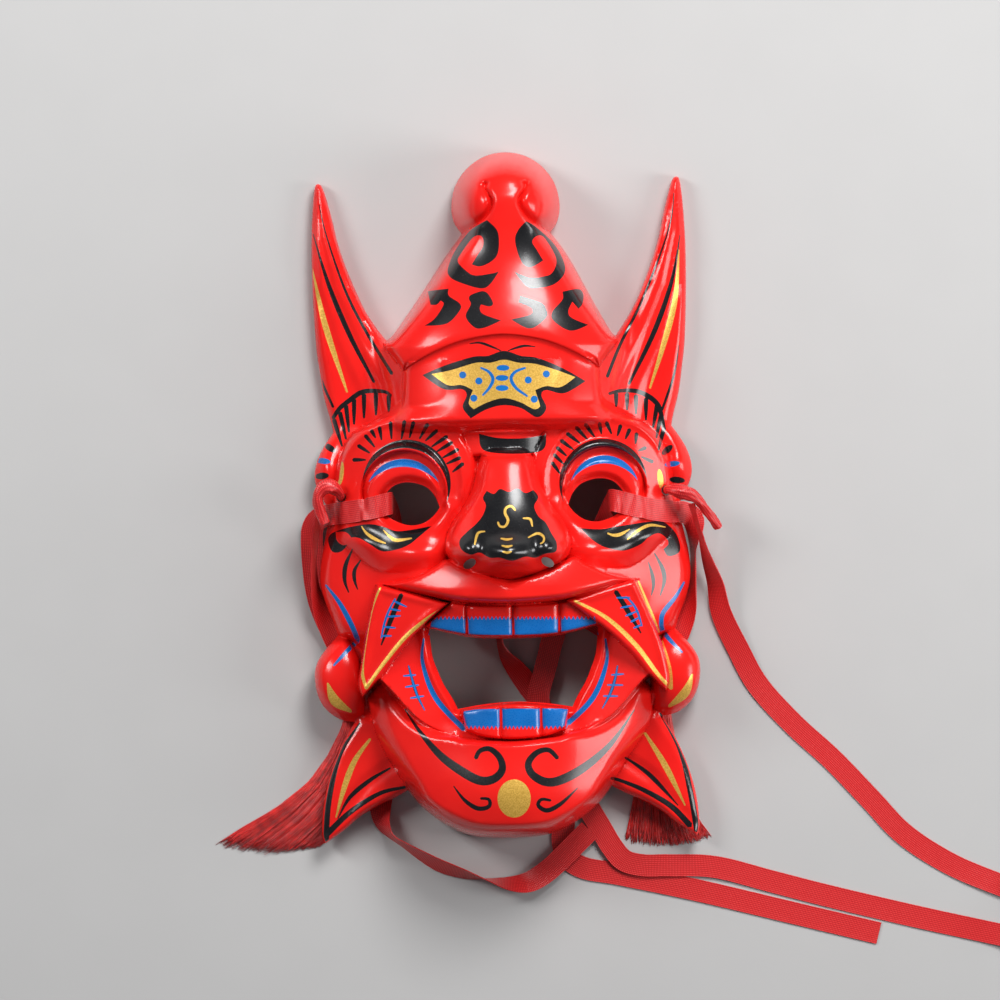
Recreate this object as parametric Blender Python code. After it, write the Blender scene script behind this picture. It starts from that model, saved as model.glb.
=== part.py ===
"""Horned theatre mask of thin moulded plastic, with its two tie ribbons and two thread tassels.

The mask lies on its back rim, face up: X across the face, +Y to the crown, +Z out of the face.
The origin is on the rim at the chin. Everything is in metres once it is built; the carving is
drawn in millimetres on a mask of the drawn size below and follows the mask's real size.
"""
import math

import bmesh
import bpy
import numpy as np
from mathutils import Vector
from mathutils.bvhtree import BVHTree
from mathutils.geometry import delaunay_2d_cdt

# Driving dimensions, in metres
MASK_HEIGHT = 0.2882
MASK_WIDTH = 0.1618
MASK_DEPTH = 0.0760
WALL = 0.0022
RIM_WIDTH = 0.0030
RIM_EDGE = 0.0036
RIM_LIFT = 0.0050
TIE_HOLE_DIAMETER = 0.0042
RIBBON_WIDTH = 0.0092
RIBBON_THICKNESS = 0.0006

# The drawn size of the mask in millimetres, which the carving below is measured on
DRAWN_HEIGHT = 288.2
DRAWN_WIDTH = 161.8
DRAWN_DEPTH = 76.0
CHIN_LAND = 1.5

# Mesh fineness in millimetres: outline steps, and how far a face may leave the true surface
OUTLINE_STEP = 4.6
FACE_TOLERANCE = 0.28
BACK_TOLERANCE = 0.6
FACE_POINTS = 2330
BACK_POINTS = 900
BACK_ROUNDING = 4
RIBBON_STEP = 8.5
FACE_GAP = 1.5
SHOULDER = 1.3
RIM_STEP = 1.8
WALL_SAMPLE = 0.9
THINNEST = 1.2
KNOT_SIDES = 10
TASSEL_SPOTS = 7
TASSEL_FOOT = 0.1

# Outlines of the mask, right half, from the crown to the chin; each run ends at a corner
CROWN_CURL = [(0, 287.4), (8.7, 285.7), (16.1, 280.7), (21.1, 273.3), (22.8, 264.6), (21.6, 257.8), (18.6, 253.4)]
HAT_SIDE = [(18.6, 253.4), (26.2, 243.0), (35.8, 227.1), (44.8, 212.9), (48.0, 209.5)]
HORN = [(48.0, 209.5), (52.8, 216.2), (57.0, 223.3), (61.0, 232.5), (64.7, 242.2), (67.5, 251.4),
        (69.6, 261.0), (72.8, 272.8), (74.9, 275.7), (76.9, 272.8), (78.3, 254.8), (78.5, 233.8),
        (77.5, 208.7), (76.0, 196.1), (74.4, 185.6), (71.9, 176.0), (71.0, 171.4)]
EAR_AND_CHEEK = [(71.0, 171.4), (74.2, 166.8), (77.1, 161.7), (79.0, 155.4), (78.8, 150.0), (76.7, 144.6),
                 (73.6, 138.3), (74.4, 131.1), (77.1, 118.0), (77.6, 108.1), (75.6, 99.7), (72.6, 91.8),
                 (70.8, 86.3)]
LOBE = [(70.8, 86.3), (75.8, 80.9), (79.6, 75.4), (80.9, 69.6), (79.9, 62.0), (76.7, 55.7), (70.6, 51.1),
        (64.5, 49.8)]
FEATHER_OUTER = [(64.5, 49.8), (68.5, 43.2), (71.6, 36.9), (74.9, 28.5), (77.3, 20.1), (78.7, 11.7),
                 (79.1, 3.4), (78.0, -0.8)]
FEATHER_INNER = [(78.0, -0.8), (73.3, 2.3), (68.9, 5.4), (62.6, 10.5), (55.1, 14.7), (48.8, 17.6), (42.7, 20.9)]
JAW_SIDE = [(42.7, 20.9), (37.3, 14.2), (30.0, 8.0), (20.9, 2.9), (12.6, 0.6), (0, 0)]

# Holes through the mask, right half
EYE_HOLE = [(26.8, 139.1), (28.9, 144.1), (32.7, 147.9), (39.4, 149.8), (45.3, 148.7), (49.0, 145.4),
            (51.1, 141.2), (50.3, 137.4), (45.3, 133.7), (39.0, 131.8), (33.5, 132.8), (29.3, 135.8)]
MOUTH_TOP = [(0, 83.8), (18.9, 84.8), (33.0, 88.2), (35.3, 88.0)]
MOUTH_SIDE = [(35.3, 88.0), (34.8, 83.0), (33.9, 76.3), (31.8, 70.4), (29.7, 65.4), (26.0, 59.1), (23.9, 54.8)]
MOUTH_BOTTOM = [(23.9, 54.8), (12.6, 56.6), (0, 57.4)]
NOSTRIL_PLACE = (16.2, 115.4)
NOSTRIL_SIZE = (2.9, 1.8)
NOSTRIL_TURN = math.radians(-32)
TIE_HOLE_PLACE = (68.0, 144.2)

# Raised parts of the face, right half; a run that starts and ends at x = 0 crosses the middle
HAT_STEM = [(0, 276.0), (8.3, 272.6), (5.4, 266.6), (7.0, 261.4), (11.4, 257.2), (18.6, 253.4)]
HAT_BRIM = [(48.0, 209.5), (49.0, 206.8), (44.8, 201.5), (41.1, 196.1)]
BRIM_RIDGE = [(41.1, 196.1), (33.1, 201.1), (24.3, 205.3), (14.7, 208.4), (0, 210.3)]
FOREHEAD_HEAD = [(0, 216.0), (30.0, 208.0), (41.1, 196.1)]
FOREHEAD_SIDE = [(41.1, 196.1), (41.6, 187.0), (41.5, 176.0)]
FOREHEAD_FOOT = [(41.5, 176.0), (31.4, 173.4), (16.8, 172.0), (0, 173.0)]
CURL_CREASE = [(8.3, 272.6), (5.4, 266.6), (7.0, 261.4), (11.4, 257.2), (18.6, 253.4)]
ORBIT = [(25.1, 116.5), (31.6, 113.6), (44.0, 112.3), (52.5, 113.0), (58.8, 116.5), (64.2, 121.5),
         (69.5, 126.0), (71.5, 133.0), (70.6, 150.0), (68.0, 163.0), (60.0, 173.0), (40.0, 178.5), (20.0, 172.0),
         (12.0, 160.0), (13.5, 147.0), (20.0, 128.0), (25.1, 116.5)]
NOSE = [(0, 163.0), (9.0, 162.2), (12.0, 156.0), (14.4, 146.8), (19.0, 138.5), (23.3, 132.5), (26.0, 126.0),
        (26.0, 119.8), (22.6, 115.2), (17.6, 112.4), (9.5, 109.0), (0, 107.4)]
LIP_TOP = [(0, 108.5), (6.3, 109.4), (12.6, 111.5), (18.9, 114.0), (26.2, 117.6), (31.6, 114.6), (39.2, 110.8),
           (47.0, 108.6), (53.8, 107.5)]
LIP_FOOT = [(53.8, 107.5), (46.5, 104.8), (35.6, 101.8), (25.1, 99.3), (16.8, 98.2), (0, 97.4)]
TUSK_OUTER = [(53.8, 107.7), (58.2, 95.5), (62.0, 83.0), (64.3, 72.5), (65.2, 65.2), (63.5, 60.2)]
TUSK_INNER = [(63.5, 60.2), (56.4, 67.3), (50.2, 75.2), (42.8, 83.4), (34.6, 91.0), (24.0, 99.3)]
TUSK_HEAD = [(24.0, 99.3), (38.0, 103.4), (53.8, 107.7)]
UPPER_GUM = [(0, 98.4), (16.8, 98.8), (25.5, 100.2)]
UPPER_TEETH_SIDE = [(25.5, 100.2), (36.2, 90.8), (34.9, 88.4)]
UPPER_TEETH_FOOT = [(34.9, 88.4), (18.9, 85.0), (0, 84.0)]
LOWER_TEETH_RUNS = ([(0, 57.2), (22.9, 54.6)], [(22.9, 54.6), (20.9, 45.6)],
                    [(20.9, 45.6), (12.6, 42.7), (0, 41.6)])
BRIDGE_RUNS = ([(0, 175.0), (18.0, 175.0)], [(18.0, 175.0), (15.0, 160.0)], [(15.0, 160.0), (0, 160.0)])
MOUTH_HOLLOW = ([(0, 99.0), (24.0, 99.5)], [(24.0, 99.5), (40.0, 95.0), (52.0, 82.0), (59.0, 70.0)],
                [(59.0, 70.0), (52.0, 63.0), (46.0, 56.0), (40.0, 50.0), (32.0, 45.5), (20.0, 42.0), (0, 40.5)])
FEATHER_CREASE = [(46.0, 34.0), (60.0, 24.0), (76.0, 4.0)]
JAW_TOP = [(0, 41.4), (18.0, 42.6), (23.9, 44.4), (32.3, 46.8), (40.6, 51.8), (46.9, 58.4), (52.0, 66.2),
           (56.5, 64.5), (60.5, 59.5)]
JAW_OUTER = [(60.5, 59.5), (57.6, 47.3), (53.2, 38.2), (48.6, 31.0), (42.7, 21.5), (37.3, 12.0), (20.0, -6.0),
             (0, -8.0)]
EAR_LOBE = [(70.8, 86.3), (78.0, 84.0), (84.0, 70.0), (80.0, 54.0), (70.0, 47.0), (61.0, 52.0), (60.5, 70.0),
            (66.0, 84.5), (70.8, 86.3)]

# Places that follow the axis of the worn face, and how far the hand-made parts stand off it
EYE_DISC = (42.6, 149.2)
EYE_DISC_RADIUS = 27.0
LID_FOLD = (41.1, 148.5, 18.4)
LID_STEP = (41.8, 145.3, 18.0)
LID_EDGE = (42.2, 142.9, 15.9)
CROWN_SHIFT = 3.3
NOSE_SHIFT = 1.4
LIP_SHIFT = 2.0
MOUTH_SHIFT = 2.9
TUSK_SHIFT = 2.6
UPPER_TEETH_GAPS = (-16.5, 2.8, 22.1)
LOWER_TEETH_GAPS = (-3.1, 13.6)

# Lines across a horn, as x at five heights from its base to its tip: pleats run between them
HORN_HEIGHTS = (172.0, 191.0, 210.0, 231.0, 253.0, 276.0)
HORN_PLEATS = (
    (40.5, 42.5, 48.0, 60.5, 67.8, 74.0),
    (45.5, 48.0, 54.0, 63.5, 70.4, 74.4),
    (48.5, 53.2, 61.8, 70.4, 74.9, 74.9),
    (58.0, 63.0, 71.0, 76.0, 77.0, 75.2),
    (74.0, 77.5, 79.6, 80.6, 80.0, 77.4),
)

# Stations of the two ribbons, in millimetres from the origin: x, y, height of the ribbon's middle,
# how far its width leans out of level, and which way its width points, both in degrees. A height
# of None lies on the face; a direction of None is square to the run.
RIGHT_ROUTE = [
    (78.4, 137.0, 19.5, 75, None), (80.6, 129.0, 19.0, 80, None), (82.8, 121.0, 15.0, 80, None),
    (85.0, 113.0, 10.0, 66, None), (88.0, 103.0, 5.6, 46, None), (90.3, 90.5, 3.2, 25, None),
    (97.0, 75.5, 1.6, 10, None), (105.2, 59.9, 0.6, 0, None), (119.5, 43.5, 0.5, 0, None),
    (135.6, 28.2, 0.5, 0, None), (151.0, 11.5, 0.5, 0, None), (165.1, -3.8, 0.5, 0, None),
    (184.0, -16.5, 0.5, 0, None), (204.4, -25.6, 1.2, 0, None), (218.0, -30.4, 3.9, 35, None),
    (228.0, -35.6, 5.0, 80, None), (231.5, -42.0, 5.0, 88, None), (227.0, -48.0, 5.0, 80, None),
    (216.0, -49.6, 3.9, 35, None), (204.0, -46.6, 1.2, 0, None), (170.0, -38.5, 0.5, 0, None),
    (134.5, -29.4, 0.5, 0, None), (110.0, -22.6, 0.6, 0, None), (85.7, -15.8, 1.0, 0, None),
    (66.0, -14.6, 1.6, 0, None), (55.5, -14.4, 1.8, 0, None), (47.4, -12.2, 1.8, 0, None),
    (42.4, -6.5, 1.8, 0, None), (37.8, 1.6, 1.8, 0, None), (31.9, 12.1, 1.8, 0, None),
    (26.0, 24.0, 2.0, 0, None), (19.5, 38.0, 2.8, 0, None), (14.0, 50.0, 3.8, 0, None),
    (12.8, 58.0, 4.4, 0, None), (15.7, 68.5, 4.6, 0, None), (19.4, 81.8, 4.6, 0, None),
    (24.0, 95.0, 4.8, 0, None), (31.0, 110.0, 6.0, 0, None), (38.0, 122.0, 12.5, 0, None),
    (42.5, 130.5, 20.0, 0, -232), (43.8, 137.2, 26.0, 0, -262), (44.4, 139.0, 30.4, 0, -270),
    (47.2, 138.6, 34.0, 0, -270), (51.5, 137.4, None, 0, -270), (57.0, 136.0, None, 0, -270),
    (63.5, 134.6, None, 0, -270), (69.6, 133.8, None, 0, -270), (75.6, 133.2, 12.8, 0, -272),
    (78.8, 131.0, 6.6, 6, -310), (79.6, 126.0, 5.0, 40, -345), (79.0, 118.0, 5.0, 76, -360),
    (78.7, 110.0, 6.4, 76, -362), (77.8, 101.0, 5.4, 64, -368), (76.2, 94.0, 4.2, 38, -374),
    (73.5, 86.0, 3.4, 8, -385), (70.0, 79.5, 3.0, 0, -405), (63.0, 76.2, 1.8, 0, None),
    (50.0, 80.0, 1.0, 0, None), (34.0, 90.0, 0.8, 0, None), (18.0, 96.5, 1.0, 0, None),
    (6.0, 95.0, 2.6, 25, None), (-1.5, 88.5, 4.4, 55, None), (-3.0, 81.5, 5.0, 75, None),
    (-1.0, 75.5, 4.6, 62, None), (4.0, 68.6, 2.8, 28, None), (8.8, 61.6, 0.9, 4, None),
    (13.0, 55.0, 0.5, 0, None),
    (17.0, 40.0, 0.5, 0, None), (20.0, 24.0, 0.5, 0, None), (22.5, 8.0, 0.5, 0, None),
    (21.6, -3.4, 0.5, 0, None), (24.0, -10.8, 0.5, 0, None), (31.0, -15.2, 0.5, 0, None),
    (45.4, -18.0, 0.5, 0, None), (78.7, -25.6, 0.5, 0, None), (120.4, -36.4, 0.5, 0, None),
    (153.5, -45.0, 0.5, 0, None),
]
LEFT_ROUTE = [
    (-77.6, 145.0, 20.6, -78, None), (-77.4, 140.5, 20.2, -78, None), (-77.8, 134.5, 18.6, -78, None),
    (-79.2, 125.4, 12.8, -78, None), (-80.2, 114.0, 8.6, -78, None), (-79.8, 105.0, 6.2, -70, None),
    (-78.0, 97.0, 4.9, -45, None), (-74.8, 89.5, 3.8, -15, None), (-71.0, 81.0, 3.2, 0, None),
    (-66.0, 74.5, 2.6, 0, None), (-59.5, 72.0, 2.0, 0, None), (-53.5, 76.5, 1.4, 0, None),
    (-51.0, 88.0, 1.0, 0, None), (-49.5, 104.0, 1.0, 0, None), (-48.2, 118.0, 3.0, 0, None),
    (-47.2, 128.0, 9.0, 0, 205), (-46.8, 135.0, 17.5, 0, 240), (-46.6, 139.0, 25.0, 0, 266),
    (-46.8, 139.8, 29.8, 0, 270), (-48.8, 139.4, 32.8, 0, 270), (-53.0, 138.4, None, 0, 270),
    (-59.0, 137.2, None, 0, 270), (-65.0, 136.4, None, 0, 270), (-70.5, 135.8, None, 0, 270),
    (-75.2, 134.8, 11.6, 0, 275), (-78.4, 133.2, 6.4, 0, 300), (-80.4, 129.8, 3.2, 0, 335),
    (-80.9, 124.5, 1.6, 0, 355), (-80.6, 115.0, 0.8, 0, 361), (-79.6, 105.0, 0.7, 0, 367),
    (-77.6, 96.5, 0.7, 0, 378), (-73.9, 87.5, 0.7, 0, 386), (-69.0, 78.5, 0.7, 0, 391),
    (-61.5, 66.0, 0.6, 0, None), (-55.0, 53.0, 0.6, 0, None), (-52.0, 40.0, 0.6, 0, None),
    (-52.2, 27.0, 0.6, 0, None), (-53.8, 17.0, 0.8, 4, None), (-54.4, 11.0, 2.4, 22, None),
    (-53.2, 5.0, 4.2, 52, None), (-50.0, 0.0, 4.9, 76, None), (-44.5, -3.8, 4.9, 74, None),
    (-37.0, -8.7, 4.6, 62, None), (-29.5, -12.9, 4.3, 55, None), (-20.0, -16.3, 4.6, 65, None),
    (-10.4, -18.8, 5.0, 92, None), (-1.0, -20.8, 4.7, 125, None), (7.0, -20.4, 3.8, 155, None),
    (14.5, -16.2, 3.3, 174, None), (21.0, -10.6, 3.0, 180, None), (33.0, 1.0, 3.0, 180, None),
]

# Knots at the tie holes: stations of the rolled ribbon as x, y, height and radius, left and right
LEFT_KNOT = [(-68.0, 142.7, 10.0, 1.5), (-68.0, 142.7, 24.0, 1.5), (-68.8, 144.6, 27.4, 2.0),
             (-71.6, 147.0, 29.6, 4.2), (-75.4, 146.6, 30.4, 3.2), (-77.6, 143.0, 30.2, 2.2),
             (-77.0, 138.4, 29.4, 2.2), (-75.0, 132.0, 28.0, 2.2)]
RIGHT_KNOT = [(68.0, 142.7, 10.0, 1.5), (68.0, 142.7, 24.0, 1.5), (69.4, 143.0, 27.0, 2.0),
              (73.2, 142.2, 28.4, 4.4), (77.4, 141.0, 27.6, 4.0), (81.4, 138.0, 25.4, 2.0),
              (85.6, 132.4, 22.0, 1.9), (89.4, 127.0, 18.0, 1.9)]

# Tassels: stations as both edges of the fan and its height
LEFT_TASSEL = [((-68.0, 54.0), (-63.0, 52.5), 3.0), ((-70.0, 46.0), (-61.5, 43.0), 3.2),
               ((-75.8, 35.0), (-63.0, 30.0), 3.2), ((-84.4, 23.5), (-65.5, 16.0), 3.2),
               ((-98.0, 13.0), (-69.5, 6.0), 3.0), ((-112.5, 5.0), (-75.0, 0.0), 2.2),
               ((-123.5, -2.0), (-80.0, -3.5), 1.0)]
RIGHT_TASSEL = [((62.5, 54.0), (67.5, 52.5), 3.0), ((60.0, 45.0), (69.0, 43.0), 3.2),
                ((56.0, 32.0), (71.0, 28.0), 3.2), ((52.5, 17.0), (75.0, 12.0), 3.2),
                ((50.0, 5.5), (79.0, 3.0), 2.6), ((48.2, -3.6), (83.5, -3.4), 1.0)]
TASSEL_SWELL = 3.0


def smooth(value):
    """Ease from 0 to 1."""
    value = np.clip(value, 0.0, 1.0)
    return value * value * (3.0 - 2.0 * value)


def dome(value):
    """Rise from 0 to 1 as the edge of a rounded solid does."""
    return np.sqrt(1.0 - (1.0 - np.clip(value, 0.0, 1.0)) ** 2)


def bump(distance, width):
    """A round swelling that fades out over its width."""
    return np.exp(-(distance / width) ** 2)


def profile(value, places, heights):
    """Smooth curve through a few heights."""
    places = np.array(places, float)
    heights = np.array(heights, float)
    steps = np.diff(places)
    slopes = np.diff(heights) / steps
    tangents = np.concatenate(([slopes[0]], 0.5 * (slopes[1:] + slopes[:-1]), [slopes[-1]]))
    index = np.clip(np.searchsorted(places, value) - 1, 0, len(steps) - 1)
    share = np.clip((value - places[index]) / steps[index], 0.0, 1.0)
    rest = 1.0 - share
    pulls = tangents[index] * rest - tangents[index + 1] * share
    before = heights[index] * (1.0 + 2.0 * share) * rest ** 2
    after = heights[index + 1] * (1.0 + 2.0 * rest) * share ** 2
    return before + after + pulls * steps[index] * share * rest


def run_curve(points, step):
    """A smooth curve through the points of one run, in equal steps; it crosses x = 0 squarely."""
    before = (-points[1][0], points[1][1]) if points[0][0] == 0 else points[0]
    after = (-points[-2][0], points[-2][1]) if points[-1][0] == 0 else points[-1]
    padded = [before] + list(points) + [after]
    fine = [points[0]]
    for a, b, c, d in zip(padded, padded[1:], padded[2:], padded[3:]):
        for part in range(1, 9):
            t = part / 8
            weights = (0.5 * (-t + 2 * t * t - t ** 3), 0.5 * (2 - 5 * t * t + 3 * t ** 3),
                       0.5 * (t + 4 * t * t - 3 * t ** 3), 0.5 * (t ** 3 - t * t))
            fine.append(tuple(sum(w * p[axis] for w, p in zip(weights, (a, b, c, d))) for axis in (0, 1)))
    lengths = [0.0]
    for a, b in zip(fine, fine[1:]):
        lengths.append(lengths[-1] + math.dist(a, b))
    count = max(2, round(lengths[-1] / step))
    marks = np.linspace(0, lengths[-1], count + 1)
    return list(zip(np.interp(marks, lengths, [p[0] for p in fine]),
                    np.interp(marks, lengths, [p[1] for p in fine])))


def joined(runs, step):
    """Runs that follow one another, as one line with a corner where two runs meet."""
    line = run_curve(runs[0], step)
    for run in runs[1:]:
        line += run_curve(run, step)[1:]
    return line


def inside_distance(line, x, y, reach=14.0):
    """Distance to a line, positive on the side that it encloses with x = 0, cut off at reach."""
    xs = [p[0] for p in line]
    ys = [p[1] for p in line]
    result = np.full(x.shape, -reach)
    near = (x > min(xs) - reach) & (x < max(xs) + reach) & (y > min(ys) - reach) & (y < max(ys) + reach)
    px = x[near]
    py = y[near]
    nearest = np.full(px.shape, 1e9)
    inside = np.zeros(px.shape, bool)
    for (ax, ay), (bx, by) in zip(line, line[1:]):
        ex = bx - ax
        ey = by - ay
        t = np.clip(((px - ax) * ex + (py - ay) * ey) / (ex * ex + ey * ey + 1e-12), 0.0, 1.0)
        nearest = np.minimum(nearest, (px - ax - t * ex) ** 2 + (py - ay - t * ey) ** 2)
        if ay != by:
            inside ^= ((ay > py) != (by > py)) & (px < ax + (py - ay) * ex / ey)
    result[near] = np.where(inside, 1.0, -1.0) * np.sqrt(nearest)
    return np.clip(result, -reach, 99.0)


def line_distance(line, x, y, reach=8.0):
    """Plain distance to a line."""
    return np.minimum(np.abs(inside_distance(line, x, y, reach)), reach)


CARVING_STEP = 2.0
OUTLINE_RUNS = (CROWN_CURL, HAT_SIDE, HORN, EAR_AND_CHEEK, LOBE, FEATHER_OUTER, FEATHER_INNER, JAW_SIDE)
OUTLINE_LINE = joined(OUTLINE_RUNS, CARVING_STEP)
EYE_HOLE_LINE = run_curve(EYE_HOLE + EYE_HOLE[:1], CARVING_STEP)
MOUTH_LINE = joined((MOUTH_TOP, MOUTH_SIDE, MOUTH_BOTTOM), CARVING_STEP)
CREASE_LINE = run_curve(CURL_CREASE, CARVING_STEP)
LOBE_LINE = run_curve(EAR_LOBE, CARVING_STEP)
ORBIT_LINE = run_curve(ORBIT, CARVING_STEP)
NOSE_LINE = run_curve(NOSE, CARVING_STEP)
BRIDGE_LINE = joined(BRIDGE_RUNS, CARVING_STEP)
FOREHEAD_LINE = joined((FOREHEAD_HEAD, FOREHEAD_SIDE, FOREHEAD_FOOT), CARVING_STEP)
HAT_LINE = joined((HAT_STEM, HAT_SIDE, HAT_BRIM, BRIM_RIDGE), CARVING_STEP)
BRIM_LINE = run_curve(BRIM_RIDGE, CARVING_STEP)
HOLLOW_LINE = joined(MOUTH_HOLLOW, CARVING_STEP)
UPPER_TEETH_LINE = joined((UPPER_GUM, UPPER_TEETH_SIDE, UPPER_TEETH_FOOT), CARVING_STEP)
LOWER_TEETH_LINE = joined(LOWER_TEETH_RUNS, CARVING_STEP)
LIP_LINE = joined((LIP_TOP, LIP_FOOT), CARVING_STEP)
LIP_FOOT_LINE = run_curve(LIP_FOOT, CARVING_STEP)
TUSK_LINE = joined((TUSK_OUTER, TUSK_INNER, TUSK_HEAD), CARVING_STEP)
JAW_LINE = joined((JAW_TOP, JAW_OUTER), CARVING_STEP)
JAW_SIDE_LINE = run_curve(JAW_OUTER, CARVING_STEP)


def crown_lean(x, y):
    """The curl and the top of the hat lean a little to one side."""
    return CROWN_SHIFT * smooth((y - 196.0) / 56.0) * (1.0 - smooth((np.abs(x) - 44.0) / 8.0))


def rim_height(x, y):
    """The rim touches the table at the chin, the horns and the crown, and arches between them."""
    lift = RIM_LIFT * 1000 * DRAWN_DEPTH / (MASK_DEPTH * 1000)
    return lift * smooth((np.abs(x) - 12.5) / 18.0) * smooth((180.0 - y) / 30.0)


def laid_over(height, line, roof, width, u, y):
    """A raised part laid over what is below: it rises to its roof over an edge of some width."""
    inside = inside_distance(line, u, y)
    rise = np.maximum(roof - height, 0.0) * dome(inside / width)
    return np.where(inside > 0.0, height + rise, height)


def horn_surface(u, y):
    """Flat horn with four pleats that run together at its tip."""
    lines = [np.interp(y, HORN_HEIGHTS, row) for row in HORN_PLEATS]
    pleat = np.zeros(u.shape)
    for low, high in zip(lines, lines[1:]):
        pleat += np.clip((u - low) / np.maximum(high - low, 0.2), 0.0, 1.0)
    width = np.clip((lines[-1] - lines[0]) / 16.0, 0.15, 1.0)
    waves = 2.4 * np.abs(np.sin(math.pi * pleat)) ** 0.7 * width
    return 8.6 + 4.2 * width - 1.0 * pleat * width + waves


def border_surface(u, y, rim):
    """Horns above, ears beside the eyes, and feathers below."""
    ear = 11.5 + 5.0 * np.exp(-((u - 72.5) / 5.5) ** 2 - ((y - 155.0) / 9.0) ** 2)
    side = ear + (10.0 - ear) * smooth((140.0 - y) / 10.0)
    crease = line_distance(FEATHER_CREASE, u, y)
    feather = 8.8 + 1.2 * smooth(crease / 5.0) + 0.6 * rim
    low = side + (feather - side) * smooth((56.0 - y) / 8.0)
    return low + (horn_surface(u, y) - low) * smooth((y - 168.0) / 7.0)


def hat_surface(u, y):
    """Tall hat: a rounded ridge from the curl down to the brim."""
    ridge = profile(y, (196.0, 208.0, 222.0, 234.0, 245.0, 253.0, 260.0, 267.0, 272.0, 278.0),
                    (51.5, 51.5, 48.6, 44.8, 42.4, 42.2, 43.6, 44.2, 42.4, 38.0))
    half = profile(y, (206.0, 213.0, 227.0, 243.0, 253.0, 262.0, 272.0),
                   (49.0, 45.5, 36.5, 26.8, 23.0, 22.0, 24.0))
    share = np.minimum(u / half, 1.2)
    return ridge * (1.0 - 0.20 * share ** 2 - 0.20 * share ** 5)


def curl_surface(u, y):
    """Ball of hair at the crown that rolls in behind its stem on both sides."""
    span = np.minimum(np.hypot(u, y - 264.6) / 22.8, 1.0)
    ball = 6.0 + 37.5 * (1.0 - span ** 2.8) ** 0.55
    crease = line_distance(CREASE_LINE, u, y)
    return ball - 6.0 * bump(crease, 2.6)


def orbit_surface(u, y):
    """Eye disc with its folded lid, and the cheek that swells below it."""
    disc = 34.6 - 0.25 * (u - 42.9) - 0.022 * np.maximum(u - 52.0, 0.0) ** 2
    from_disc = np.hypot(u - EYE_DISC[0], y - EYE_DISC[1])
    upper = smooth((y - 138.0) / 7.0)
    rim = 1.1 * bump(from_disc - EYE_DISC_RADIUS + 1.2, 1.3)
    fold = LID_FOLD[2] - np.hypot(u - LID_FOLD[0], y - LID_FOLD[1])
    step = LID_STEP[2] - np.hypot(u - LID_STEP[0], y - LID_STEP[1])
    edge = LID_EDGE[2] - np.hypot(u - LID_EDGE[0], y - LID_EDGE[1])
    lid = 3.2 * smooth(fold / 2.6) - 4.4 * smooth((step + 0.3) / 1.3) + 2.6 * smooth((edge + 0.6) / 2.4)
    from_hole = -inside_distance(EYE_HOLE_LINE, u, y, 20.0)
    sink = -3.6 * (1.0 - smooth(from_hole / 3.6))
    lower = (1.0 - upper) * (1.4 * bump(from_hole - 3.4, 2.4) - 0.6 * bump(from_hole - 8.0, 2.6))
    cheek = 9.0 * np.exp(-((u - 37.0) / 15.0) ** 2 - ((y - 118.5) / 8.0) ** 2)
    roll = 4.0 * np.exp(-((u - 61.0) / 9.0) ** 2 - ((y - 124.5) / 5.5) ** 2)
    return disc + upper * (rim + lid) + sink + lower + cheek + roll


def nose_surface(u, y):
    """Broad nose with a rounded bridge, two wings and a round tip."""
    ridge = profile(y, (110.0, 112.5, 116.0, 121.0, 128.0, 138.0, 149.0, 158.0, 164.0),
                      (57.0, 63.5, 68.5, 70.0, 66.5, 60.5, 55.5, 51.5, 47.0))
    half = profile(y, (110.0, 115.0, 120.0, 126.0, 132.5, 138.5, 149.0, 163.0),
                     (23.5, 25.5, 27.5, 28.0, 25.5, 21.5, 16.6, 13.6))
    foot = profile(y, (110.0, 130.0, 164.0), (43.0, 41.0, 40.0))
    body = foot + (ridge - foot) * np.sqrt(np.maximum(1.0 - (u / half) ** 2, 0.0))
    tip = 6.0 * np.exp(-(u / 9.0) ** 2 - ((y - 119.5) / 7.0) ** 2)
    wing = 7.5 * np.exp(-((u - 18.5) / 5.6) ** 2 - ((y - 121.5) / 6.5) ** 2)
    crease = -2.0 * np.exp(-((u - 11.4) / 2.8) ** 2 - ((y - 120.0) / 7.5) ** 2)
    nostril = -5.0 * np.exp(-((u - NOSTRIL_PLACE[0]) / 4.6) ** 2 - ((y - NOSTRIL_PLACE[1] + 0.6) / 3.0) ** 2)
    return body + tip + wing + crease + nostril


def teeth_surface(x, gaps, roof):
    """A row of rounded teeth that part at the gaps."""
    nearest = np.full(x.shape, 99.0)
    for gap in gaps:
        nearest = np.minimum(nearest, np.abs(x - gap))
    return roof - 1.4 + 2.2 * dome((nearest - 0.4) / 2.4)


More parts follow.
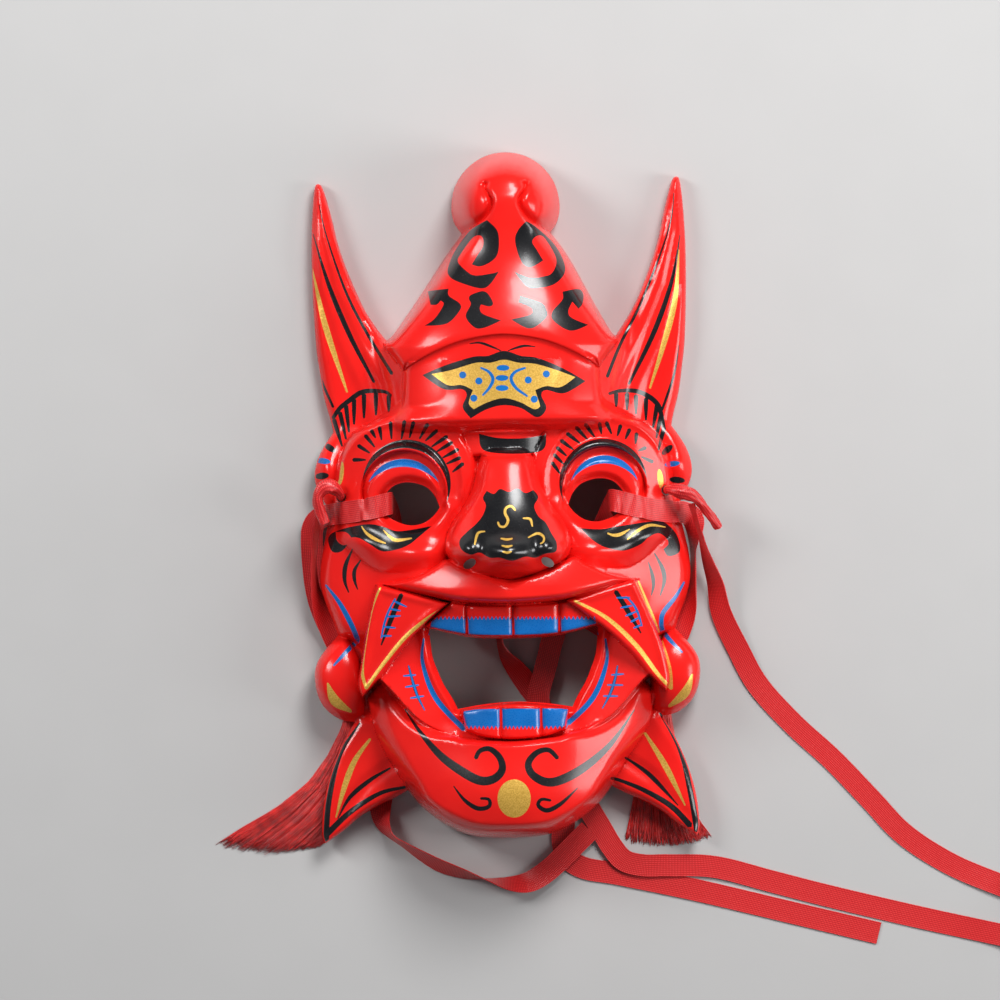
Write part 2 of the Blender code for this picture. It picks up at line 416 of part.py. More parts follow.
def upper_face(x, u, y, rim):
    """Border, eyes, forehead, hat, crown curl and nose."""
    height = border_surface(u, y, rim)
    half = profile(y, (4, 10, 22, 45, 60, 83, 88, 95, 118, 130, 150, 172, 184, 200),
                   (14, 26, 38, 48, 56, 64, 74, 78, 79, 76, 68, 60, 43, 40))
    body = 8.0 + 27.0 * np.sqrt(np.maximum(1.0 - (u / half) ** 2, 0.0))
    body += 9.0 * np.exp(-((u - 34.0) / 14.0) ** 2 - ((y - 112.0) / 9.0) ** 2)
    height = np.maximum(height, np.where(y < 200.0, body, 0.0))
    beside = smooth((y - 166.0) / 10.0) * smooth((214.0 - y) / 10.0)
    height = height + 11.0 * np.exp(-(np.maximum(u - 38.0, 0.0) / 7.0) ** 2) * beside
    lobe = 8.0 + 13.0 * np.sqrt(np.maximum(1.0 - ((u - 69.5) / 15.0) ** 2 - ((y - 68.0) / 19.0) ** 2, 0.0))
    height = laid_over(height, LOBE_LINE, lobe, 3.0, u, y)
    edge = profile(y, (108.0, 128.0, 146.0), (15.0, 9.0, 3.2))
    height = laid_over(height, ORBIT_LINE, orbit_surface(u, y), edge, u, y)

    # Between the eyes: the forehead ends in a rounded edge over a ledge and a sunk bar
    between = laid_over(height, BRIDGE_LINE, 44.0 - 0.020 * u * u + 2.0 * bump(y - 170.2, 1.1), 1.5, u, y)
    forehead = profile(y, (172.0, 180.0, 196.0, 214.0), (50.0, 50.6, 49.4, 48.0))
    forehead = forehead * (1.0 - 0.17 * (u / 41.5) ** 2 - 0.10 * (u / 41.5) ** 6)
    height = laid_over(between, FOREHEAD_LINE, forehead, 3.4, u, y)

    nose_at = np.abs(x - NOSE_SHIFT)
    height = laid_over(height, NOSE_LINE, nose_surface(nose_at, y), 2.6, nose_at, y)

    height = np.maximum(height, np.where(y > 238.0, curl_surface(u, y), 0.0))
    edge = profile(y, (205.0, 255.0, 262.0), (3.0, 3.0, 1.6))
    height = laid_over(height, HAT_LINE, hat_surface(u, y), edge, u, y)
    ridge = line_distance(BRIM_LINE, u, y)
    return height + 1.1 * bump(ridge, 1.1) * smooth((43.0 - u) / 3.0)


def lower_face(height, x, u, y):
    """Mouth, teeth, lip, tusks and jaw, laid over the upper face."""
    mouth_at = np.abs(x - MOUTH_SHIFT)
    from_mouth = -inside_distance(MOUTH_LINE, mouth_at, y, 30.0)
    hollow = 31.5 + 0.30 * from_mouth + 2.6 * bump(from_mouth - 2.6, 1.8)
    in_hollow = inside_distance(HOLLOW_LINE, mouth_at, y)
    height = height + (hollow - height) * smooth(in_hollow / 2.0 + 0.5)

    upper = teeth_surface(x, UPPER_TEETH_GAPS, 48.0 - 0.0050 * mouth_at ** 2 - 0.10 * (98.0 - y))
    height = laid_over(height, UPPER_TEETH_LINE, upper, 1.6, mouth_at, y)
    lower = teeth_surface(x, LOWER_TEETH_GAPS, 43.5 - 0.008 * mouth_at ** 2)
    height = laid_over(height, LOWER_TEETH_LINE, lower, 1.6, mouth_at, y)

    lip_at = np.abs(x - LIP_SHIFT)
    lip = 59.5 - 0.0068 * lip_at ** 2 - 0.16 * np.maximum(y - 105.0, 0.0) - 0.010 * (y - 105.0) ** 2
    lip -= 2.6 * np.exp(-(lip_at / 3.4) ** 2 - ((y - 109.0) / 3.4) ** 2)
    in_lip = inside_distance(LIP_LINE, lip_at, y)
    from_foot = line_distance(LIP_FOOT_LINE, lip_at, y)
    edge = dome(in_lip / 1.6) * dome(from_foot / 4.0)
    height = np.where(in_lip > 0.0, height + np.maximum(lip - height, 0.0) * edge, height)

    tusk_at = np.abs(x - TUSK_SHIFT * smooth((112.0 - y) / 40.0))
    in_tusk = inside_distance(TUSK_LINE, tusk_at, y)
    tusk = 47.5 - 0.24 * (tusk_at - 30.0) + 0.05 * (y - 90.0) + 0.7 * bump(in_tusk - 2.2, 1.2)
    height = laid_over(height, TUSK_LINE, tusk, 2.0, tusk_at, y)

    jaw = profile(y, (0.0, 5.0, 12.0, 24.0, 40.0, 60.0), (44.0, 46.4, 48.4, 49.6, 48.4, 47.0))
    jaw = jaw - 0.0078 * u ** 2 + 2.0 * np.exp(-(u / 18.0) ** 2 - ((y - 19.0) / 10.0) ** 2)
    in_jaw = inside_distance(JAW_LINE, u, y)
    edge = np.minimum(dome(in_jaw / 2.6), dome(line_distance(JAW_SIDE_LINE, u, y, 9.0) / 8.0))
    return np.where(in_jaw > 0.0, height + np.maximum(jaw - height, 0.0) * edge, height)


def face_height(x, y):
    """Height of the front of the mask above the table, in drawn millimetres."""
    u = np.abs(x - crown_lean(x, y))
    rim = rim_height(x, y)
    height = lower_face(upper_face(x, u, y, rim), x, u, y)
    edge = rim + RIM_EDGE * 1000 * DRAWN_DEPTH / (MASK_DEPTH * 1000)
    width = profile(y, (0, 12, 22, 50, 170, 205, 215, 250, 290), (7.5, 7, 5, 4.4, 4.4, 4.6, 7, 10, 12))
    width = width + (4.4 - width) * smooth((y - 172.0) / 8.0) * smooth((u - 47.0) / 3.0)
    width = width + (3.2 - width) * smooth((46.0 - y) / 10.0) * smooth((u - 44.0) / 4.0)
    from_outline = inside_distance(OUTLINE_LINE, u, y, 30.0)
    return edge + (height - edge) * dome(from_outline / width)


def real_height(x, y):
    """Front height in real millimetres at a real place, and never above the mask's depth."""
    drawn_x = np.asarray(x, float) * DRAWN_WIDTH / (MASK_WIDTH * 1000)
    drawn_y = (np.asarray(y, float) + CHIN_LAND) * DRAWN_HEIGHT / (MASK_HEIGHT * 1000)
    return face_height(drawn_x, drawn_y) * MASK_DEPTH * 1000 / DRAWN_DEPTH


def real_rim(x, y):
    """Height of the rim above the table in real millimetres."""
    drawn_x = np.asarray(x, float) * DRAWN_WIDTH / (MASK_WIDTH * 1000)
    drawn_y = (np.asarray(y, float) + CHIN_LAND) * DRAWN_HEIGHT / (MASK_HEIGHT * 1000)
    return rim_height(drawn_x, drawn_y) * MASK_DEPTH * 1000 / DRAWN_DEPTH


def real_place(point):
    """A drawn place as a real place in millimetres, with the crown's lean."""
    x, y = point
    shifted = x
    for _ in range(4):
        shifted = x + float(crown_lean(np.array(shifted), np.array(y)))
    return (shifted * MASK_WIDTH * 1000 / DRAWN_WIDTH, y * MASK_HEIGHT * 1000 / DRAWN_HEIGHT - CHIN_LAND)


def whole_outline(runs, step, shift=0.0):
    """Both halves of an outline that starts and ends on the middle line, anticlockwise."""
    half = joined(runs, step)
    left = [(shift - x, y) for x, y in half]
    right = [(shift + x, y) for x, y in half]
    return [real_place(p) for p in left + right[-2:0:-1]]


def ellipse(place, size, turn, count):
    """Points round an ellipse."""
    points = []
    for index in range(count):
        angle = math.tau * index / count
        a = size[0] * math.cos(angle)
        b = size[1] * math.sin(angle)
        points.append((place[0] + a * math.cos(turn) - b * math.sin(turn),
                       place[1] + a * math.sin(turn) + b * math.cos(turn)))
    return points


def face_holes(step):
    """Every hole through the mask: eyes, nostrils, mouth and tie holes."""
    holes = [whole_outline((MOUTH_TOP, MOUTH_SIDE, MOUTH_BOTTOM), step, MOUTH_SHIFT)]
    eye = run_curve(EYE_HOLE + EYE_HOLE[:1], step)[:-1]
    nostril = ellipse(NOSTRIL_PLACE, NOSTRIL_SIZE, NOSTRIL_TURN, max(8, round(14 / step)))
    tie_radius = TIE_HOLE_DIAMETER * 500
    tie = ellipse((0, 0), (tie_radius, tie_radius), 0.0, max(8, round(13 / step)))
    for side in (-1, 1):
        holes.append([real_place((side * x, y)) for x, y in eye])
        holes.append([real_place((side * x + NOSE_SHIFT, y)) for x, y in nostril])
        centre = real_place((side * TIE_HOLE_PLACE[0], TIE_HOLE_PLACE[1]))
        holes.append([(centre[0] + x, centre[1] + y) for x, y in tie])
    return holes


def loop_inside(loop, x, y):
    """Which points lie inside a closed loop."""
    inside = np.zeros(x.shape, bool)
    for (ax, ay), (bx, by) in zip(loop, loop[1:] + loop[:1]):
        if ay != by:
            inside ^= ((ay > y) != (by > y)) & (x < ax + (y - ay) * (bx - ax) / (by - ay))
    return inside


def inset_loop(loop, distance):
    """The loop moved inwards, without the points that would come closer than that to any side."""
    moved = []
    for before, here, after in zip(loop[-1:] + loop[:-1], loop, loop[1:] + loop[:1]):
        along = Vector((after[0] - before[0], after[1] - before[1])).normalized()
        moved.append((here[0] - along.y * distance, here[1] + along.x * distance))
    x = np.array([p[0] for p in moved])
    y = np.array([p[1] for p in moved])
    nearest = np.abs(inside_distance(loop + loop[:1], x, y, 40.0))
    return [p for p, gap, kept in zip(moved, nearest, loop_inside(loop, x, y)) if kept and gap > distance * 0.93]


def cut_triangles(points, edges, outline, holes):
    """Triangles over the outline and round its holes, and where each given point went."""
    vertices, _, faces, origins, _, _ = delaunay_2d_cdt([Vector(p) for p in points], edges, [], 0, 1e-5)
    x = np.array([v.x for v in vertices])
    y = np.array([v.y for v in vertices])
    corners = np.array([list(f) for f in faces])
    middle_x = x[corners].mean(axis=1)
    middle_y = y[corners].mean(axis=1)
    kept = loop_inside(outline, middle_x, middle_y)
    for hole in holes:
        kept &= ~loop_inside(hole, middle_x, middle_y)
    place = {}
    for index, sources in enumerate(origins):
        for source in sources:
            place[source] = index
    return x, y, corners[kept], place


def fitted_surface(height, outline, holes, guides, tolerance, limit, spacing, sample):
    """A surface over the outline whose triangles are smallest where the relief is strongest."""
    loops = [outline] + holes
    points = []
    edges = []
    for loop in loops:
        first = len(points)
        points += loop
        edges += [(first + i, first + (i + 1) % len(loop)) for i in range(len(loop))]
    loop_total = len(points)
    for guide, closed in guides:
        first = len(points)
        points += guide
        last = len(guide) if closed else len(guide) - 1
        edges += [(first + i, first + (i + 1) % len(guide)) for i in range(last)]
    low = np.min(outline, axis=0)
    high = np.max(outline, axis=0)
    columns = np.arange(low[0] + 0.5, high[0], sample)
    rows = np.arange(low[1] + 0.5, high[1], sample)
    grid_x, grid_y = np.meshgrid(columns, rows)
    grid_x = grid_x.ravel()
    grid_y = grid_y.ravel()
    margin = 1.1 * sample
    kept = loop_inside(outline, grid_x, grid_y)
    for loop in loops:
        near = np.abs(inside_distance(loop + loop[:1], grid_x, grid_y, 6.0))
        kept &= near > margin
    for hole in holes:
        kept &= ~loop_inside(hole, grid_x, grid_y)
    grid_x = grid_x[kept]
    grid_y = grid_y[kept]
    true = height(grid_x, grid_y)
    free = np.ones(grid_x.shape, bool)
    for index in range(len(grid_x)):
        column = round((grid_x[index] - low[0] - 0.5) / sample)
        row = round((grid_y[index] - low[1] - 0.5) / sample)
        if column % spacing == 0 and (row + column // spacing % 2 * spacing // 2) % spacing == 0:
            points.append((grid_x[index], grid_y[index]))
            free[index] = False
    for _ in range(14):
        x, y, triangles, place = cut_triangles(points, edges, outline, holes)
        z = height(x, y)
        room = limit - len(points)
        if room <= 0:
            break
        solid = BVHTree.FromPolygons(np.stack((x, y, z), axis=1).tolist(), triangles.tolist())
        worst = {}
        for index in np.nonzero(free)[0]:
            hit = solid.ray_cast((grid_x[index], grid_y[index], 500.0), (0.0, 0.0, -1.0))
            if hit[0] is None:
                continue
            error = abs(hit[0].z - true[index])
            if error > tolerance and error > worst.get(hit[2], (0.0, 0))[0]:
                worst[hit[2]] = (error, index)
        chosen = sorted(worst.values(), reverse=True)[:room]
        if not chosen:
            break
        for _, index in chosen:
            points.append((grid_x[index], grid_y[index]))
            free[index] = False
    x, y, triangles, place = cut_triangles(points, edges, outline, holes)
    loop_places = []
    first = 0
    for loop in loops:
        loop_places.append([place[first + i] for i in range(len(loop))])
        first += len(loop)
    return x, y, triangles, loop_places


def back_height_function():
    """The hollow side: the front moved back by the wall, with a flat land along the rim."""
    spacing = 0.9
    wall = WALL * 1000
    half_width = MASK_WIDTH * 500 + 6
    xs = np.arange(-half_width, half_width, spacing)
    ys = np.arange(-8.0, MASK_HEIGHT * 1000 + 8.0, spacing)
    grid_x, grid_y = np.meshgrid(xs, ys)
    front = real_height(grid_x.ravel(), grid_y.ravel()).reshape(grid_x.shape)
    back = np.full(front.shape, 1e3)
    reach = int(wall / spacing) + 1
    for dy in range(-reach, reach + 1):
        for dx in range(-reach, reach + 1):
            span = math.hypot(dx, dy) * spacing
            if span <= wall:
                shifted = np.roll(np.roll(front, dy, axis=0), dx, axis=1)
                back = np.minimum(back, shifted - math.sqrt(wall * wall - span * span))
    soft = back.copy()
    for _ in range(BACK_ROUNDING):
        soft = (soft + np.roll(soft, 1, axis=0) + np.roll(soft, -1, axis=0)
                + np.roll(soft, 1, axis=1) + np.roll(soft, -1, axis=1)) / 5.0
    back = np.minimum(back, soft)
    outline = whole_outline(OUTLINE_RUNS, CARVING_STEP)

    def height(x, y):
        column = np.clip((x - xs[0]) / spacing, 0, len(xs) - 1.001)
        row = np.clip((y - ys[0]) / spacing, 0, len(ys) - 1.001)
        c = column.astype(int)
        r = row.astype(int)
        fc = column - c
        fr = row - r
        eroded = ((back[r, c] * (1 - fc) + back[r, c + 1] * fc) * (1 - fr)
                  + (back[r + 1, c] * (1 - fc) + back[r + 1, c + 1] * fc) * fr)
        rim = real_rim(x, y)
        inside = np.abs(inside_distance(outline + outline[:1], x, y, 12.0))
        share = np.clip((inside - RIM_WIDTH * 1000) / RIM_STEP, 0.0, 1.0)
        return rim + np.maximum(eroded - rim, 0.0) * share

    return height


def keep_wall(front, front_z, back, back_z, fixed):
    """Lower the hollow side wherever its coarse triangles come too close to the front."""
    back_z = back_z.copy()
    xs = np.arange(front[0].min() + 1.0, front[0].max(), WALL_SAMPLE)
    ys = np.arange(front[1].min() + 1.0, front[1].max(), WALL_SAMPLE)
    outside = BVHTree.FromPolygons(np.stack((front[0], front[1], front_z), axis=1).tolist(), front[2].tolist())
    tops = []
    for x in xs:
        for y in ys:
            hit = outside.ray_cast((x, y, 500.0), (0.0, 0.0, -1.0))
            if hit[0] is not None:
                tops.append((x, y, hit[0].z))
    lowest = real_rim(back[0], back[1]) + 0.2
    for turn in range(12):
        inside = BVHTree.FromPolygons(np.stack((back[0], back[1], back_z), axis=1).tolist(), back[2].tolist())
        drop = np.zeros(back_z.shape)
        for x, y, top in tops:
            hit = inside.ray_cast((x, y, 500.0), (0.0, 0.0, -1.0))
            if hit[0] is None or top - hit[0].z > THINNEST:
                continue
            corners = back[2][hit[2]]
            nearness = 1.0 / (np.hypot(back[0][corners] - x, back[1][corners] - y) + 0.3)
            share = nearness / nearness.max() if turn < 8 else 1.0
            wanted = (THINNEST + 0.05 - (top - hit[0].z)) * share
            drop[corners] = np.maximum(drop[corners], wanted)
        drop[fixed] = 0.0
        if drop.max() == 0.0:
            break
        back_z = np.where(drop > 0.0, np.maximum(back_z - drop, lowest), back_z)
    return back_z


def new_object(name, mesh, material):
    """An object of its own in the scene, with its material."""
    thing = bpy.data.objects.new(name, mesh)
    bpy.context.collection.objects.link(thing)
    mesh.materials.append(material)
    return thing


def finish(name, colour, roughness):
    """A plain material with the part's colour and gloss."""
    material = bpy.data.materials.new(name)
    material.use_nodes = True
    shader = material.node_tree.nodes["Principled BSDF"]
    shader.inputs["Base Color"].default_value = (*colour, 1.0)
    shader.inputs["Roughness"].default_value = roughness
    shader.inputs["Metallic"].default_value = 0.0
    return material


def solid_mesh(name, vertices, faces, angle=35):
    """A closed mesh from points in millimetres, its faces turned outwards and its edges kept."""
    mesh = bpy.data.meshes.new(name)
    mesh.from_pydata([tuple(c * 0.001 for c in v) for v in vertices], [], faces)
    work = bmesh.new()
    work.from_mesh(mesh)
    bmesh.ops.triangulate(work, faces=[f for f in work.faces if len(f.verts) > 3])
    bmesh.ops.recalc_face_normals(work, faces=work.faces)
    work.to_mesh(mesh)
    work.free()
    mesh.shade_smooth()
    mesh.set_sharp_from_angle(angle=math.radians(angle))
    return mesh


def mask_shell(material):
    """The mask itself: front, hollow back and the walls between them."""
    outline = whole_outline(OUTLINE_RUNS, OUTLINE_STEP)
    holes = face_holes(OUTLINE_STEP * 0.8)
    shoulder = inset_loop(outline, SHOULDER)
    front = fitted_surface(real_height, outline, holes, [(shoulder, True)],
                           FACE_TOLERANCE, FACE_POINTS, 8, 1.0)
    back_height = back_height_function()
    land = inset_loop(outline, RIM_WIDTH * 1000)
    step = inset_loop(outline, RIM_WIDTH * 1000 + RIM_STEP)
    back = fitted_surface(back_height, outline, holes, [(land, True), (step, True)],
                          BACK_TOLERANCE, BACK_POINTS + len(land) + len(step), 10, 1.5)
    front_z = real_height(front[0], front[1])
    back_z = back_height(back[0], back[1])
    vertices = list(zip(front[0], front[1], front_z))
    count = len(vertices)
    land_places = np.nonzero(np.isclose(back_z, real_rim(back[0], back[1]), atol=1e-6))[0]
    back_z = keep_wall(front, front_z, back, back_z, land_places)
    vertices += list(zip(back[0], back[1], back_z))
    faces = front[2].tolist()
    faces += [[count + i for i in reversed(f)] for f in back[2].tolist()]
    for top, under in zip(front[3], back[3]):
        for i in range(len(top)):
            j = (i + 1) % len(top)
            faces.append([count + under[i], count + under[j], top[j], top[i]])
    return new_object("mask_shell", solid_mesh("mask_shell", vertices, faces), material)


def route_samples(route, step):
    """Middle points and width directions along a ribbon, closer together where it lies on the face."""
    half = RIBBON_WIDTH * 500
    gap = FACE_GAP + RIBBON_THICKNESS * 500
    rows = []
    for index, (x, y, z, lean, across) in enumerate(route):
        if across is None:
            before = route[max(index - 1, 0)]
            after = route[min(index + 1, len(route) - 1)]
            across = math.degrees(math.atan2(after[1] - before[1], after[0] - before[0])) + 90
            if rows:
                across += 360 * round((rows[-1][4] - across) / 360)
        on_face = z is None
        if on_face:
            z = float(real_height(x, y)) + gap
        rows.append([x, y, z, lean, across, float(on_face)])
    rows = np.array([rows[0]] + rows + [rows[-1]])
    fine = []
    for a, b, c, d in zip(rows, rows[1:], rows[2:], rows[3:]):
        for t in np.arange(0, 1, 0.05):
            fine.append(0.5 * ((-t + 2 * t * t - t ** 3) * a + (2 - 5 * t * t + 3 * t ** 3) * b
                               + (t + 4 * t * t - 3 * t ** 3) * c + (t ** 3 - t * t) * d))
    fine = np.array(fine + [rows[-1]])
    weights = 1.0 + 1.4 * (fine[1:, 5] > 0.05)
    marks = np.concatenate(([0.0], np.cumsum(np.linalg.norm(np.diff(fine[:, :3], axis=0), axis=1) * weights)))
    count = max(2, round(marks[-1] / step))
    at = np.linspace(0, marks[-1], count + 1)
    samples = np.stack([np.interp(at, marks, fine[:, column]) for column in range(6)], axis=1)
    middles = samples[:, :3].copy()
    lean = np.radians(samples[:, 3])
    across = np.radians(samples[:, 4])
    widths = np.stack((np.cos(lean) * np.cos(across), np.cos(lean) * np.sin(across), np.sin(lean)), axis=1)
    for index in np.nonzero(samples[:, 5] > 0.5)[0]:
        spots = middles[index, :2] + np.outer(np.linspace(-half, half, 9), widths[index, :2])
        heights = real_height(spots[:, 0], spots[:, 1])
        slope = (heights[-1] - heights[0]) / (2 * half)
        level = np.max(heights - slope * np.linspace(-half, half, 9))
        middles[index, 2] = max(middles[index, 2], level + gap)
        widths[index, 2] = slope
    along = np.gradient(middles, axis=0)
    along /= np.linalg.norm(along, axis=1)[:, None]
    widths -= along * np.sum(widths * along, axis=1)[:, None]
    widths /= np.linalg.norm(widths, axis=1)[:, None]
    return middles, widths, np.cross(along, widths)


def ring_solid(name, rings, material):
    """A closed body through rings of points, with a flat cap at both ends."""
    size = len(rings[0])
    vertices = [point for ring in rings for point in ring]
    faces = []
    for index in range(len(rings) - 1):
        for corner in range(size):
            after = (corner + 1) % size
            faces.append([index * size + corner, index * size + after,
                          (index + 1) * size + after, (index + 1) * size + corner])
    last = (len(rings) - 1) * size
    faces.append(list(range(size - 1, -1, -1)))
    faces.append([last + corner for corner in range(size)])
    return new_object(name, solid_mesh(name, vertices, faces), material)


def ribbon(name, route, material):
    """A flat ribbon along its route."""
    middles, widths, normals = route_samples(route, RIBBON_STEP)
    half = RIBBON_WIDTH * 500
    thin = RIBBON_THICKNESS * 500
    rings = []
    for middle, width, normal in zip(middles, widths, normals):
        rings.append([middle + width * half * a + normal * thin * b for a, b in ((1, 1), (-1, 1), (-1, -1), (1, -1))])
    return ring_solid(name, rings, material)


def knot(name, stations, material):
    """A rolled ribbon that swells into a knot and ends in a short tail."""
    centres = np.array([s[:3] for s in stations])
    along = np.gradient(centres, axis=0)
    rings = []
    side = Vector((1.0, 0.0, 0.0))
    for (x, y, z, radius), way in zip(stations, along):
        way = Vector(way).normalized()
        side = (side - way * side.dot(way)).normalized()
        up = way.cross(side)
        ring = []
        for corner in range(KNOT_SIDES):
            angle = math.tau * corner / KNOT_SIDES
            ring.append(Vector((x, y, z)) + radius * (math.cos(angle) * side + math.sin(angle) * up))
        rings.append(ring)
    return ring_solid(name, rings, material)


def tassel(name, stations, material):
    """A fan of threads on the table, thickest at its head."""
    rings = []
    for index, (first, second, height) in enumerate(stations):
        top = []
        under = []
        swell = TASSEL_SWELL * smooth((index - 3.0) / (len(stations) - 4.0))
        for share in np.linspace(0.0, 1.0, TASSEL_SPOTS):
            x = first[0] + (second[0] - first[0]) * share
            y = first[1] + (second[1] - first[1]) * share - swell * (1.0 - (2.0 * share - 1.0) ** 2)
            rise = 0.25 * height + 0.75 * height * math.sqrt(max(1.0 - (2.0 * share - 1.0) ** 2, 0.0))
            top.append((x, y, TASSEL_FOOT + rise))
            under.append((x, y, TASSEL_FOOT))
        rings.append(top + under[::-1])
    return ring_solid(name, rings, material)


def main():
    for thing in list(bpy.data.objects):
        bpy.data.objects.remove(thing, do_unlink=True)
    red_plastic = finish("red_plastic", (0.78, 0.03, 0.03), 0.25)
    red_ribbon = finish("red_ribbon", (0.72, 0.04, 0.04), 0.5)
    red_thread = finish("red_thread", (0.62, 0.02, 0.02), 0.6)
    mask_shell(red_plastic)
    ribbon("right_ribbon", RIGHT_ROUTE, red_ribbon)
    ribbon("left_ribbon", LEFT_ROUTE, red_ribbon)
    knot("right_knot", RIGHT_KNOT, red_ribbon)
    knot("left_knot", LEFT_KNOT, red_ribbon)
    tassel("right_tassel", RIGHT_TASSEL, red_thread)
    tassel("left_tassel", LEFT_TASSEL, red_thread)


main()
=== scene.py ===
"""Looks of a horned theatre mask: glossy red plastic painted in black, blue and gold, with satin tie
ribbons and thread tassels. It lies face up on a pale floor and is seen from straight above.

The carving is drawn in millimetres: x across the face, y from the chin to the crown, z out of the face.
"""
import math

import bmesh
import bpy
import numpy as np
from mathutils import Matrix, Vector
from mathutils.geometry import delaunay_2d_cdt


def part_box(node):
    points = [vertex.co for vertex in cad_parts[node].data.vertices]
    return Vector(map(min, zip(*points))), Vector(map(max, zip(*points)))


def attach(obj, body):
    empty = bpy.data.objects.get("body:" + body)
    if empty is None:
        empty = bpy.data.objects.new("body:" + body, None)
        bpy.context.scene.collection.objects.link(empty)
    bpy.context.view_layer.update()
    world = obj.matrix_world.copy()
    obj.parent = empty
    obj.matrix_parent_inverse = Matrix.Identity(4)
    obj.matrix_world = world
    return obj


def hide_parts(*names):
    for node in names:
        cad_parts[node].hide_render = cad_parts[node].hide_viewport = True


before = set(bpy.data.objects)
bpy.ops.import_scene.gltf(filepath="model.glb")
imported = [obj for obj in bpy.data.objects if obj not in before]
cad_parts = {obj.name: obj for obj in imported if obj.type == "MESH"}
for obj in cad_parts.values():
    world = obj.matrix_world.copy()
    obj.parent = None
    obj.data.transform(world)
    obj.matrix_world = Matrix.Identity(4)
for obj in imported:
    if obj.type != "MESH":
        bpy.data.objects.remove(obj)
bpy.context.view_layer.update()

# Sizes from the frame, and the drawn size that they belong to
SHELL_LOW, SHELL_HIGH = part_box("mask_shell")
DRAWN_WIDTH = 161.8
DRAWN_HEIGHT = 288.2
DRAWN_DEPTH = 76.0
CHIN_LAND = 1.5
SCALE_X = (SHELL_HIGH[0] - SHELL_LOW[0]) * 1000 / DRAWN_WIDTH
SCALE_Y = (SHELL_HIGH[1] - SHELL_LOW[1]) * 1000 / DRAWN_HEIGHT
SCALE_Z = (SHELL_HIGH[2] - SHELL_LOW[2]) * 1000 / DRAWN_DEPTH
WALL = 2.2
RIM_WIDTH = 3.0
RIM_EDGE = 3.6
RIM_LIFT = 5.0
RIM_STEP = 1.8
BACK_ROUNDING = 4
TIE_HOLE_DIAMETER = 4.2

# Fineness in millimetres
CARVING_STEP = 1.0
OUTLINE_STEP = 0.9
FACE_SPACING = 1.2
BACK_SPACING = 2.4
FACE_ERRORS = (0.13, 0.09, 0.08)
PAINT_STEP = 1.9
PAINT_MARGIN = 0.5
PROBE = 0.05
CELL = 0.8
GUIDE_GAP = 0.32
LATTICE_GAP = 0.62 * FACE_SPACING
ADDED_GAP = 0.16
BACK_GAP = 1.0
FRONT_CLEARANCE = 0.25
BACK_CLEARANCE = 0.6
BACK_GRID = 0.9

# Counts, and shares of a spacing or of the way between two points
CURVE_PARTS = 8
MARGIN_ROUNDS = 3
LEAN_ROUNDS = 4
HOLE_POINTS = 8
ROW_SHARE = 0.866
ROUTE_SHARE = 0.05
KNOT_SHARE = 0.1

# Angles in radians above which an edge of a surface, or a painted outline, keeps its corner
SHELL_SHARP = math.radians(60)
CLOTH_SHARP = math.radians(50)
PAINT_CORNER = math.radians(75)

# The camera, and how the picture's pixels lie over the mask
PICTURE_SIZE = 1000
PICTURE_SCALE = 0.419
PICTURE_ROLL = math.radians(1.22)
VIEW_CENTRE = (-1.6, 140.1)
VIEW_HEIGHT = 8.0
CAMERA_DISTANCE = 5.0
SENSOR = 36.0

# The room: metres and watts; each light has its name, place, size and power
MASK_MIDDLE = (0.0, 0.14, 0.02)
FLOOR_SIZE = 4.0
ROOM_COLOUR = (0.9, 0.93, 1.0, 1.0)
LIGHTS = (
    ("right_light", (1.15, 0.05, 0.55), (0.40, 0.80), 9.0),
    ("left_light", (-0.85, 0.60, 0.85), (0.30, 0.50), 8.0),
    ("top_light", (0.38, 1.00, 0.95), (0.50, 0.50), 18.0),
)

# Colours as a darker and a brighter shade, and the height of fine relief in metres
PLASTIC_SHADES = ((0.75, 0.010, 0.008), (0.82, 0.014, 0.010))
BLACK_SHADES = ((0.004, 0.004, 0.005), (0.007, 0.007, 0.008))
BLUE_SHADES = ((0.001, 0.115, 0.40), (0.002, 0.135, 0.45))
GOLD_SHADES = ((0.60, 0.34, 0.05), (0.84, 0.51, 0.10))
# The satin's darker shade is painted shade in the ground of the weave, its brighter one painted sheen on the
# floats
SATIN_WEAVE_SHEEN_SHADES = ((0.46, 0.008, 0.010), (0.84, 0.050, 0.050))
THREAD_SHADES = ((0.50, 0.008, 0.009), (0.80, 0.026, 0.022))
FLOOR_SHADES = ((0.437, 0.432, 0.427), (0.443, 0.438, 0.433))
RELIEF_HEIGHT = 0.0001

# The satin weave: metres from one rib to the next, and how strongly the ribs show
SATIN_PERIOD = 0.0008
SATIN_STRENGTH = 0.6

# Outlines of the mask, right half, from the crown to the chin; each run ends at a corner
CROWN_CURL = [(0, 287.4), (8.7, 285.7), (16.1, 280.7), (21.1, 273.3), (22.8, 264.6), (21.6, 257.8),
              (18.6, 253.4)]
HAT_SIDE = [(18.6, 253.4), (26.2, 243.0), (35.8, 227.1), (44.8, 212.9), (48.0, 209.5)]
HORN = [(48.0, 209.5), (52.8, 216.2), (57.0, 223.3), (61.0, 232.5), (64.7, 242.2), (67.5, 251.4),
        (69.6, 261.0), (72.8, 272.8), (74.9, 275.7), (76.9, 272.8), (78.3, 254.8), (78.5, 233.8),
        (77.5, 208.7), (76.0, 196.1), (74.4, 185.6), (71.9, 176.0), (71.0, 171.4)]
EAR_AND_CHEEK = [(71.0, 171.4), (74.2, 166.8), (77.1, 161.7), (79.0, 155.4), (78.8, 150.0), (76.7, 144.6),
                 (73.6, 138.3), (74.4, 131.1), (77.1, 118.0), (77.6, 108.1), (75.6, 99.7), (72.6, 91.8),
                 (70.8, 86.3)]
